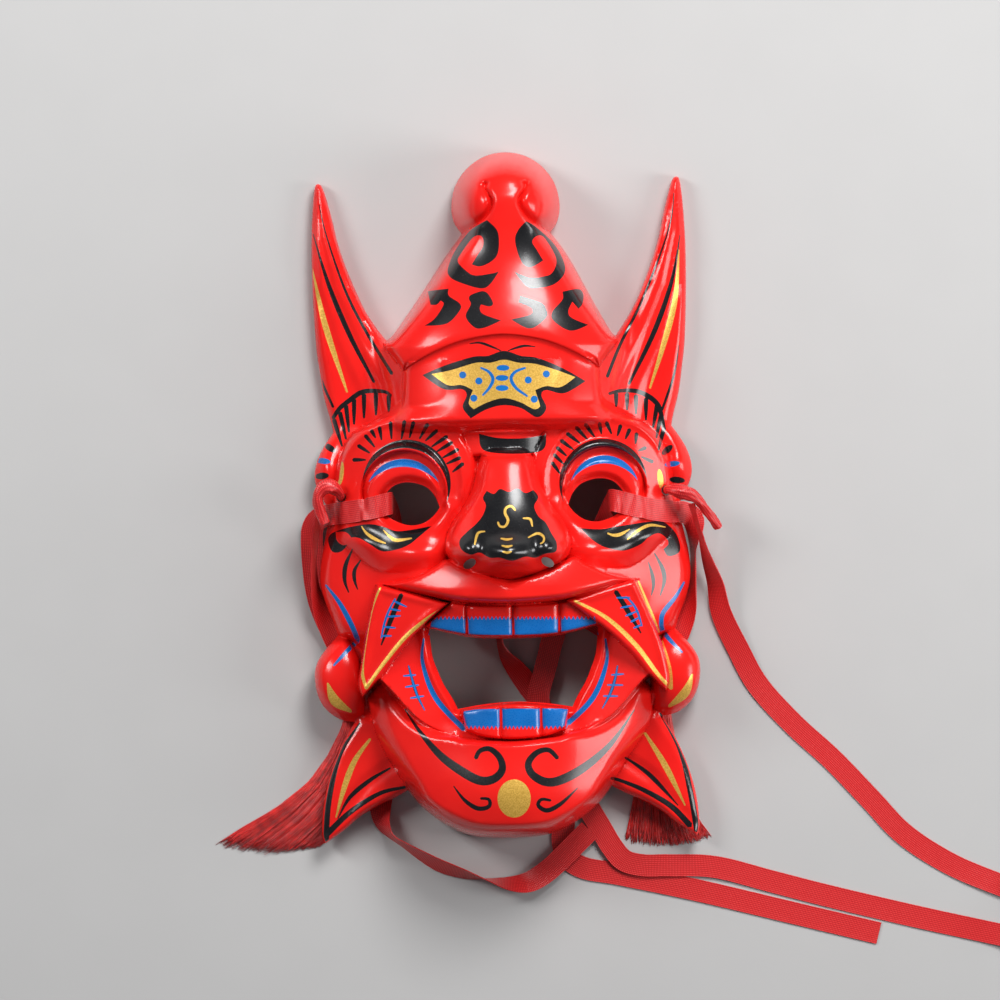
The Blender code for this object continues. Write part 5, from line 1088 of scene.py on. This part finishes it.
def closed_edges(loops):
    """Points of closed loops and the edges between them."""
    points = []
    edges = []
    for loop in loops:
        first = len(points)
        points += [tuple(map(float, p)) for p in loop]
        edges += [(first + i, first + (i + 1) % len(loop)) for i in range(len(loop))]
    return points, edges


def lattice(low, high, spacing):
    """Staggered rows of places over a rectangle."""
    places = []
    rows = int((high[1] - low[1]) / (spacing * ROW_SHARE))
    for row in range(rows + 1):
        shift = 0.5 * spacing * (row % 2)
        for x in np.arange(low[0] + shift, high[0], spacing):
            places.append((x, low[1] + row * spacing * ROW_SHARE))
    return places


def add_spots(points, loops, guides, spacing, gaps, clearance):
    """Add guides, then a lattice, to a surface's points where they keep clear of its edges."""
    cells = sorted_cells(points)
    spots = guides + lattice(np.min(loops[0], axis=0), np.max(loops[0], axis=0), spacing)
    room = edge_room(loops, np.array([p[0] for p in spots]), np.array([p[1] for p in spots]))
    for index, spot in enumerate(spots):
        if room[index] > clearance:
            set_apart(cells, points, spot, gaps[0] if index < len(guides) else gaps[1])
    return cells


def front_surface(loops, areas):
    """The front of the mask as triangles that follow the paint's edges and the relief."""
    outlines = kept_off_edges([shape for _, shape in areas], loops)
    points, edges = closed_edges(loops + outlines)
    gaps = (GUIDE_GAP, LATTICE_GAP)
    cells = add_spots(points, loops, relief_guides(), FACE_SPACING, gaps, FRONT_CLEARANCE)
    for error in FACE_ERRORS:
        x, y, triangles, _ = triangulated(points, edges, loops)
        z = face_height(x, y)
        middle_x, middle_y = middles_of(x, y, triangles)
        off = np.abs(face_height(middle_x, middle_y) - z[triangles].mean(axis=1))
        for index in np.nonzero(off > error)[0]:
            set_apart(cells, points, (middle_x[index], middle_y[index]), ADDED_GAP)
    x, y, triangles, _ = triangulated(points, edges, loops)
    middle_x, middle_y = middles_of(x, y, triangles)
    colours = np.zeros(len(triangles), int)
    for (colour, _), shape in zip(areas, outlines):
        low = np.min(shape, axis=0)
        high = np.max(shape, axis=0)
        within = (middle_x > low[0]) & (middle_x < high[0]) & (middle_y > low[1]) & (middle_y < high[1])
        near = np.nonzero(within)[0]
        inside = winding(shape, middle_x[near], middle_y[near]) != 0
        colours[near[inside]] = colour
    z = face_height(x, y)
    corners = np.stack((x, y, z), axis=1)[triangles]
    square = np.cross(corners[:, 1] - corners[:, 0], corners[:, 2] - corners[:, 0])
    level = np.abs(square[:, 2]) / (np.linalg.norm(square, axis=1) + 1e-12)
    colours[(level < WALL_LEVEL) & (colours >= BLUE)] = RED
    return x, y, z, triangles, colours


def open_edges(triangles):
    """Edges that only one triangle uses, as they run round it."""
    once = {}
    for a, b, c in triangles.tolist():
        for edge in ((a, b), (b, c), (c, a)):
            if (edge[1], edge[0]) in once:
                del once[(edge[1], edge[0])]
            else:
                once[edge] = True
    return dict(once.keys())


def edge_loops(following):
    """Closed loops from each vertex's following one."""
    left = dict(following)
    loops = []
    while left:
        start, here = left.popitem()
        loop = [start]
        while here != start:
            loop.append(here)
            here = left.pop(here)
        loops.append(loop)
    return loops


def back_height_function():
    """The hollow side: the front moved back by the wall, with a flat land along the rim."""
    xs = np.arange(-DRAWN_WIDTH / 2 - 6, DRAWN_WIDTH / 2 + 6, BACK_GRID)
    ys = np.arange(-8.0, DRAWN_HEIGHT + 8.0, BACK_GRID)
    grid_x, grid_y = np.meshgrid(xs, ys)
    front = face_height(grid_x.ravel(), grid_y.ravel()).reshape(grid_x.shape)
    back = np.full(front.shape, 1e3)
    reach = int(WALL / BACK_GRID) + 1
    for dy in range(-reach, reach + 1):
        for dx in range(-reach, reach + 1):
            span = math.hypot(dx, dy) * BACK_GRID
            if span <= WALL:
                shifted = np.roll(np.roll(front, dy, axis=0), dx, axis=1)
                back = np.minimum(back, shifted - math.sqrt(WALL * WALL - span * span))
    soft = back.copy()
    for _ in range(BACK_ROUNDING):
        soft = (soft + np.roll(soft, 1, axis=0) + np.roll(soft, -1, axis=0)
                + np.roll(soft, 1, axis=1) + np.roll(soft, -1, axis=1)) / 5.0
    back = np.minimum(back, soft)
    outline = whole_outline(OUTLINE_RUNS, CARVING_STEP, crown_lean)

    def height(x, y):
        column = np.clip((x - xs[0]) / BACK_GRID, 0, len(xs) - 1.001)
        row = np.clip((y - ys[0]) / BACK_GRID, 0, len(ys) - 1.001)
        c = column.astype(int)
        r = row.astype(int)
        fc = column - c
        fr = row - r
        eroded = ((back[r, c] * (1 - fc) + back[r, c + 1] * fc) * (1 - fr)
                  + (back[r + 1, c] * (1 - fc) + back[r + 1, c + 1] * fc) * fr)
        rim = rim_height(x, y)
        inside = np.abs(inside_distance(outline + outline[:1], x, y, 12.0))
        share = np.clip((inside - RIM_WIDTH) / RIM_STEP, 0.0, 1.0)
        return rim + np.maximum(eroded - rim, 0.0) * share

    return height


def new_object(name, mesh, materials):
    """An object of its own in the scene, with its materials."""
    thing = bpy.data.objects.new(name, mesh)
    bpy.context.collection.objects.link(thing)
    for material in materials:
        mesh.materials.append(material)
    return thing


def mask_shell(materials):
    """The mask itself: painted front, hollow back and the walls between them."""
    loops = [whole_outline(OUTLINE_RUNS, OUTLINE_STEP, crown_lean)] + face_holes(OUTLINE_STEP)
    x, y, z, triangles, colours = front_surface(loops, painted_areas())
    following = open_edges(triangles)
    rims = edge_loops(following)
    points, edges = closed_edges([[(x[i], y[i]) for i in rim] for rim in rims])
    add_spots(points, loops, [], BACK_SPACING, (BACK_GAP, BACK_GAP), BACK_CLEARANCE)
    back_x, back_y, back_triangles, place = triangulated(points, edges, loops)
    height = back_height_function()
    vertices = real_points(x, y, z).tolist()
    count = len(vertices)
    vertices += real_points(back_x, back_y, height(back_x, back_y)).tolist()
    corners = [corner for rim in rims for corner in rim]
    under = {corner: count + place[index] for index, corner in enumerate(corners)}
    faces = triangles.tolist()
    faces += [[count + i for i in reversed(f)] for f in back_triangles.tolist()]
    for a, b in following.items():
        faces.append([b, a, under[a], under[b]])
    mesh = bpy.data.meshes.new("mask_shell")
    mesh.from_pydata(vertices, [], faces)
    slots = np.zeros(len(faces), int)
    slots[:len(colours)] = colours
    mesh.polygons.foreach_set("material_index", slots.tolist())
    mesh.shade_smooth()
    mesh.set_sharp_from_angle(angle=SHELL_SHARP)
    return new_object("painted_shell", mesh, materials)


def route_samples(route, step):
    """Middle points and width directions along a ribbon, closer together where it lies on the face."""
    half = RIBBON_WIDTH / 2
    gap = FACE_GAP + RIBBON_THICKNESS / 2
    route = [station + LEVEL_AND_SQUARE[len(station) - 3:] for station in route]
    face = real_height([station[0] for station in route], [station[1] for station in route])
    rows = []
    for index, (x, y, z, lean, across) in enumerate(route):
        if across is None:
            before = route[max(index - 1, 0)]
            after = route[min(index + 1, len(route) - 1)]
            across = math.degrees(math.atan2(after[1] - before[1], after[0] - before[0])) + 90
            if rows:
                across += 360 * round((rows[-1][4] - across) / 360)
        on_face = z is None
        if on_face:
            z = float(face[index]) + gap
        rows.append([x, y, z, lean, across, float(on_face)])
    fine = smooth_rows(rows, ROUTE_SHARE)
    marks = run_lengths(fine[:, :3], 1.0 + (fine[1:, 5] > 0.05))
    count = max(2, round(marks[-1] / step))
    at = np.linspace(0, marks[-1], count + 1)
    samples = np.stack([np.interp(at, marks, column) for column in fine.T], axis=1)
    middles = samples[:, :3].copy()
    lean = np.radians(samples[:, 3])
    across = np.radians(samples[:, 4])
    widths = np.stack((np.cos(lean) * np.cos(across), np.cos(lean) * np.sin(across), np.sin(lean)), axis=1)
    laid = np.nonzero(samples[:, 5] > 0.5)[0]
    shares = np.linspace(-half, half, RIBBON_SPOTS)
    spots = middles[laid, None, :2] + shares[None, :, None] * widths[laid, None, :2]
    heights = real_height(spots[:, :, 0].ravel(), spots[:, :, 1].ravel()).reshape(len(laid), RIBBON_SPOTS)
    slopes = (heights[:, -1] - heights[:, 0]) / (2 * half)
    level = np.max(heights - slopes[:, None] * shares[None, :], axis=1)
    middles[laid, 2] = np.maximum(middles[laid, 2], level + gap)
    widths[laid, 2] = slopes
    along = np.gradient(middles, axis=0)
    along /= np.linalg.norm(along, axis=1)[:, None]
    widths -= along * np.sum(widths * along, axis=1)[:, None]
    widths /= np.linalg.norm(widths, axis=1)[:, None]
    return middles, widths, np.cross(along, widths)


def turn_outwards(mesh):
    """Turn every face of a closed mesh to the outside."""
    work = bmesh.new()
    work.from_mesh(mesh)
    bmesh.ops.recalc_face_normals(work, faces=work.faces)
    work.to_mesh(mesh)
    work.free()


def ring_object(name, rings, around, along, material):
    """A closed body through rings of points in millimetres; its map holds metres of cloth."""
    size = len(rings[0])
    vertices = [tuple(float(c) * 0.001 for c in point) for ring in rings for point in ring]
    faces = []
    maps = []
    for index in range(len(rings) - 1):
        for corner in range(size):
            after = (corner + 1) % size
            faces.append([index * size + corner, index * size + after,
                          (index + 1) * size + after, (index + 1) * size + corner])
            end = around[corner + 1]
            maps += [(around[corner], along[index]), (end, along[index]),
                     (end, along[index + 1]), (around[corner], along[index + 1])]
    last = (len(rings) - 1) * size
    for cap, at in ((list(range(size - 1, -1, -1)), along[0]), ([last + c for c in range(size)], along[-1])):
        faces.append(cap)
        maps += [(around[corner % size], at) for corner in cap]
    mesh = bpy.data.meshes.new(name)
    mesh.from_pydata(vertices, [], faces)
    layer = mesh.uv_layers.new(name="cloth")
    layer.data.foreach_set("uv", [float(c) * 0.001 for pair in maps for c in pair])
    turn_outwards(mesh)
    mesh.shade_smooth()
    mesh.set_sharp_from_angle(angle=CLOTH_SHARP)
    return new_object(name, mesh, [material])


def ribbon(name, route, material):
    """A satin ribbon, a little thicker at its woven edges, with its middle line and its length."""
    middles, widths, normals = route_samples(route, RIBBON_STEP)
    half = RIBBON_WIDTH / 2
    shares = np.linspace(-1.0, 1.0, RIBBON_SPOTS)
    thin = RIBBON_THICKNESS / 2 * (0.8 + 0.4 * np.abs(shares) ** 6)
    rings = []
    for middle, width, normal in zip(middles, widths, normals):
        top = [middle + width * half * share + normal * t for share, t in zip(shares, thin)]
        under = [middle + width * half * share - normal * t for share, t in zip(shares, thin)]
        rings.append(top[::-1] + under)
    around = list(shares[::-1] * half) + list(shares * half) + [shares[-1] * half]
    along = run_lengths(middles)
    thing = ring_object(name, rings, around, along, material)
    return thing, [tuple(m * 0.001) for m in middles], along[-1] * 0.001


def rolled_ribbon(name, stations, material):
    """A rolled and creased ribbon through stations of x, y, height and radius."""
    fine = smooth_rows(stations, KNOT_SHARE)
    ways = np.gradient(fine[:, :3], axis=0)
    along = run_lengths(fine[:, :3])
    side = Vector((1.0, 0.0, 0.0))
    rings = []
    for (x, y, z, radius), way, at in zip(fine, ways, along):
        way = Vector(way).normalized()
        side = (side - way * side.dot(way)).normalized()
        up = way.cross(side)
        ring = []
        for corner in range(KNOT_SIDES):
            angle = math.tau * corner / KNOT_SIDES
            crease = 1.0 + 0.10 * math.sin(3 * angle + 0.5 * at) + 0.05 * math.sin(7 * angle - 0.9 * at)
            out = math.cos(angle) * side + math.sin(angle) * up
            ring.append(Vector((x, y, z)) + out * float(radius * crease))
        rings.append(ring)
    around = [RIBBON_WIDTH * corner / KNOT_SIDES for corner in range(KNOT_SIDES + 1)]
    return ring_object(name, rings, around, along, material)


def tassel(name, stations, seed, material):
    """A fan of loose threads on the table."""
    rng = np.random.default_rng(seed)
    marks = np.arange(len(stations), dtype=float)
    first = np.array([s[0] for s in stations])
    second = np.array([s[1] for s in stations])
    heights = np.array([s[2] for s in stations])
    steps = 3 * len(stations)
    vertices = []
    faces = []
    for _ in range(TASSEL_THREADS):
        share = rng.uniform(0.0, 1.0)
        level = rng.uniform(0.0, 1.0)
        reach = rng.uniform(0.90, 1.0)
        sway = rng.normal(0.0, 0.7)
        wave = rng.uniform(0.0, math.tau)
        points = []
        for t in np.linspace(0.0, (len(stations) - 1) * reach, steps):
            a = np.array([np.interp(t, marks, first[:, c]) for c in (0, 1)])
            b = np.array([np.interp(t, marks, second[:, c]) for c in (0, 1)])
            spread = (t / marks[-1]) ** 2
            spot = a + (b - a) * share
            spot[0] += sway * spread + 0.5 * math.sin(wave + 1.3 * t) * spread
            round_out = 1.0 - (2.0 * share - 1.0) ** 2
            further = TASSEL_SWELL * smooth((t - 3.0) / (marks[-1] - 3.0)) * round_out
            spot[1] += 0.5 * sway * spread - further
            roof = np.interp(t, marks, heights) * math.sqrt(max(round_out, 0.0))
            points.append((spot[0], spot[1], THREAD_LIFT + max(roof - THREAD_LIFT, 0.05) * level))
        base = len(vertices)
        for index, point in enumerate(points):
            thin = THREAD_RADIUS * (1.0 - 0.35 * index / len(points))
            for corner in range(3):
                angle = math.tau * corner / 3 + wave
                vertices.append(((point[0] + thin * math.cos(angle)) * 0.001, point[1] * 0.001,
                                 (point[2] + thin * math.sin(angle)) * 0.001))
        for index in range(len(points) - 1):
            for corner in range(3):
                after = (corner + 1) % 3
                low = base + 3 * index
                faces.append([low + corner, low + after, low + 3 + after, low + 3 + corner])
        last = base + 3 * (len(points) - 1)
        faces.append([base + 2, base + 1, base])
        faces.append([last, last + 1, last + 2])
    mesh = bpy.data.meshes.new(name)
    mesh.from_pydata(vertices, [], faces)
    turn_outwards(mesh)
    mesh.shade_smooth()
    return new_object(name, mesh, [material])


def set_values(node, **values):
    """Set the sockets of a shader node; underscores in the names stand for spaces."""
    for name, value in values.items():
        node.inputs[name.replace("_", " ")].default_value = value


def noise(tree, coordinates, scale, detail):
    """A cloudy pattern over the coordinates."""
    made = tree.nodes.new("ShaderNodeTexNoise")
    set_values(made, Scale=scale, Detail=detail)
    tree.links.new(coordinates, made.inputs["Vector"])
    return made.outputs["Fac"]


def shade(tree, shader, pattern, places, colours):
    """Base colour that runs between two shades as a pattern goes from one value to another."""
    ramp = tree.nodes.new("ShaderNodeValToRGB")
    for index in (0, 1):
        ramp.color_ramp.elements[index].position = places[index]
        ramp.color_ramp.elements[index].color = (*colours[index], 1.0)
    tree.links.new(pattern, ramp.inputs["Fac"])
    tree.links.new(ramp.outputs["Color"], shader.inputs["Base Color"])


def roughen(tree, shader, pattern, strength):
    """Fine relief that follows a pattern."""
    raised = tree.nodes.new("ShaderNodeBump")
    set_values(raised, Strength=strength, Distance=RELIEF_HEIGHT)
    tree.links.new(pattern, raised.inputs["Height"])
    tree.links.new(raised.outputs["Normal"], shader.inputs["Normal"])


def surface(name, colour, roughness, metallic=0.0):
    """A material with a Principled shader, its node tree and its shader."""
    material = bpy.data.materials.new(name)
    material.use_nodes = True
    shader = material.node_tree.nodes["Principled BSDF"]
    set_values(shader, Base_Color=(*colour, 1.0), Roughness=roughness, Metallic=metallic)
    return material, material.node_tree, shader


def mottled(tree, shader, coordinates, scale, shades, detail=3.0):
    """Colour that wanders between two shades."""
    shade(tree, shader, noise(tree, coordinates, scale, detail), (0.35, 0.65), shades)


def grain(tree, shader, coordinates, scale, strength, gloss):
    """Fine unevenness in height and in gloss."""
    pattern = noise(tree, coordinates, scale, 4.0)
    roughen(tree, shader, pattern, strength)
    band = tree.nodes.new("ShaderNodeMapRange")
    set_values(band, From_Min=0.3, From_Max=0.7, To_Min=gloss[0], To_Max=gloss[1])
    tree.links.new(pattern, band.inputs["Value"])
    tree.links.new(band.outputs["Result"], shader.inputs["Roughness"])


def object_coordinates(tree):
    """Places on the piece in metres."""
    return tree.nodes.new("ShaderNodeTexCoord").outputs["Object"]


def red_plastic():
    """Glossy moulded plastic."""
    material, tree, shader = surface("red_plastic", (0.78, 0.012, 0.009), 0.20)
    coordinates = object_coordinates(tree)
    mottled(tree, shader, coordinates, 45.0, PLASTIC_SHADES)
    grain(tree, shader, coordinates, 1500.0, 0.06, (0.18, 0.24))
    set_values(shader, IOR=1.36, Coat_Weight=0.15, Coat_Roughness=0.08)
    return material


def paint(name, shades, gloss):
    """A semi-gloss paint."""
    material, tree, shader = surface(name, shades[0], gloss[0])
    coordinates = object_coordinates(tree)
    mottled(tree, shader, coordinates, 160.0, shades)
    grain(tree, shader, coordinates, 1700.0, 0.08, gloss)
    set_values(shader, Coat_Weight=0.15, Coat_Roughness=0.15)
    return material


def gold_paint():
    """Gold paint with fine metal flake."""
    material, tree, shader = surface("gold_paint", (0.72, 0.42, 0.07), 0.36, 0.40)
    coordinates = object_coordinates(tree)
    mottled(tree, shader, coordinates, 1800.0, GOLD_SHADES, 2.0)
    grain(tree, shader, coordinates, 1300.0, 0.25, (0.28, 0.45))
    return material


def woven(name, shades, period, strength):
    """Ribbed satin weave on a piece's own map, with painted sheen on the floats of thread and painted shade
    on the darker ground.
    """
    material, tree, shader = surface(name, shades[0], 0.36)
    coordinates = tree.nodes.new("ShaderNodeTexCoord").outputs["UV"]
    joint = tree.nodes.new("ShaderNodeMath")
    joint.operation = "MULTIPLY"
    for place, (direction, share) in enumerate((("X", 1.0), ("Y", 0.8))):
        wave = tree.nodes.new("ShaderNodeTexWave")
        wave.wave_type = "BANDS"
        wave.bands_direction = direction
        set_values(wave, Scale=math.pi / (10.0 * period * share), Distortion=0.5)
        tree.links.new(coordinates, wave.inputs["Vector"])
        tree.links.new(wave.outputs["Fac"], joint.inputs[place])
    # Painted sheen on the raised floats and painted shade in the ground between them, following the weave's
    # relief
    shade(tree, shader, joint.outputs["Value"], (0.10, 0.75), shades)
    roughen(tree, shader, joint.outputs["Value"], strength)
    set_values(shader, Sheen_Weight=0.15, Sheen_Roughness=0.35, Sheen_Tint=(1.0, 0.35, 0.30, 1.0))
    return material


def thread_material():
    """Dyed silky thread."""
    material, tree, shader = surface("red_thread", (0.62, 0.012, 0.012), 0.40)
    mottled(tree, shader, object_coordinates(tree), 300.0, THREAD_SHADES)
    set_values(shader, Sheen_Weight=0.3, Sheen_Roughness=0.4)
    return material


def add_camera():
    """A camera straight above the mask, turned as the picture is."""
    field = PICTURE_SIZE * PICTURE_SCALE * 0.001
    bpy.ops.object.camera_add(
        location=(VIEW_CENTRE[0] * 0.001, VIEW_CENTRE[1] * 0.001, VIEW_HEIGHT * 0.001 + CAMERA_DISTANCE),
        rotation=(0.0, 0.0, -PICTURE_ROLL))
    camera = bpy.context.object
    camera.name = "camera"
    camera.data.sensor_width = SENSOR
    camera.data.lens = SENSOR * CAMERA_DISTANCE / field
    camera.data.clip_end = 2 * CAMERA_DISTANCE
    bpy.context.scene.camera = camera
    bpy.context.scene.view_settings.view_transform = "Standard"


def add_light(name, location, size, power):
    """A soft rectangular light aimed at the middle of the mask, in metres and watts."""
    bpy.ops.object.light_add(type="AREA", location=location)
    light = bpy.context.object
    light.name = name
    light.data.shape = "RECTANGLE"
    light.data.size = size[0]
    light.data.size_y = size[1]
    light.data.energy = power
    aim = Vector(MASK_MIDDLE) - Vector(location)
    light.rotation_euler = aim.to_track_quat("-Z", "Y").to_euler()


def add_studio():
    """Pale floor, dim room and three soft lights."""
    bpy.ops.mesh.primitive_plane_add(size=FLOOR_SIZE, location=(MASK_MIDDLE[0], MASK_MIDDLE[1], 0.0))
    floor = bpy.context.object
    floor.name = "floor"
    material, tree, shader = surface("floor_pale", (0.44, 0.435, 0.43), 0.8)
    mottled(tree, shader, object_coordinates(tree), 30.0, FLOOR_SHADES)
    floor.data.materials.append(material)
    world = bpy.data.worlds.new("room")
    world.use_nodes = True
    set_values(world.node_tree.nodes["Background"], Color=ROOM_COLOUR, Strength=0.16)
    bpy.context.scene.world = world
    for light in LIGHTS:
        add_light(*light)


def main():
    """Make the camera, the pieces with what they replace, and the room."""
    add_camera()
    satin = woven("red_satin", SATIN_WEAVE_SHEEN_SHADES, SATIN_PERIOD, SATIN_STRENGTH)
    thread = thread_material()
    sides = (
        ("left", LEFT_ROUTE, LEFT_KNOT, LEFT_TASSEL, 3),
        ("right", RIGHT_ROUTE, RIGHT_KNOT, RIGHT_TASSEL, 5),
    )
    for side, route, knot, fan, seed in sides:
        strip, middle, length = ribbon(side + "_satin", route, satin)
        knotted = rolled_ribbon(side + "_tied_knot", knot, satin)
        threads = tassel(side + "_threads", fan, seed, thread)
        for piece, replaced, finish in ((strip, "_ribbon", "red_ribbon"), (knotted, "_knot", "red_ribbon"),
                                        (threads, "_tassel", "red_thread")):
            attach(piece, "root")
            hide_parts(side + replaced)
    black = paint("black_paint", BLACK_SHADES, (0.20, 0.28))
    blue = paint("blue_paint", BLUE_SHADES, (0.24, 0.34))
    shell = mask_shell([red_plastic(), black, blue, gold_paint()])
    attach(shell, "root")
    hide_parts("mask_shell")
    add_studio()


main()
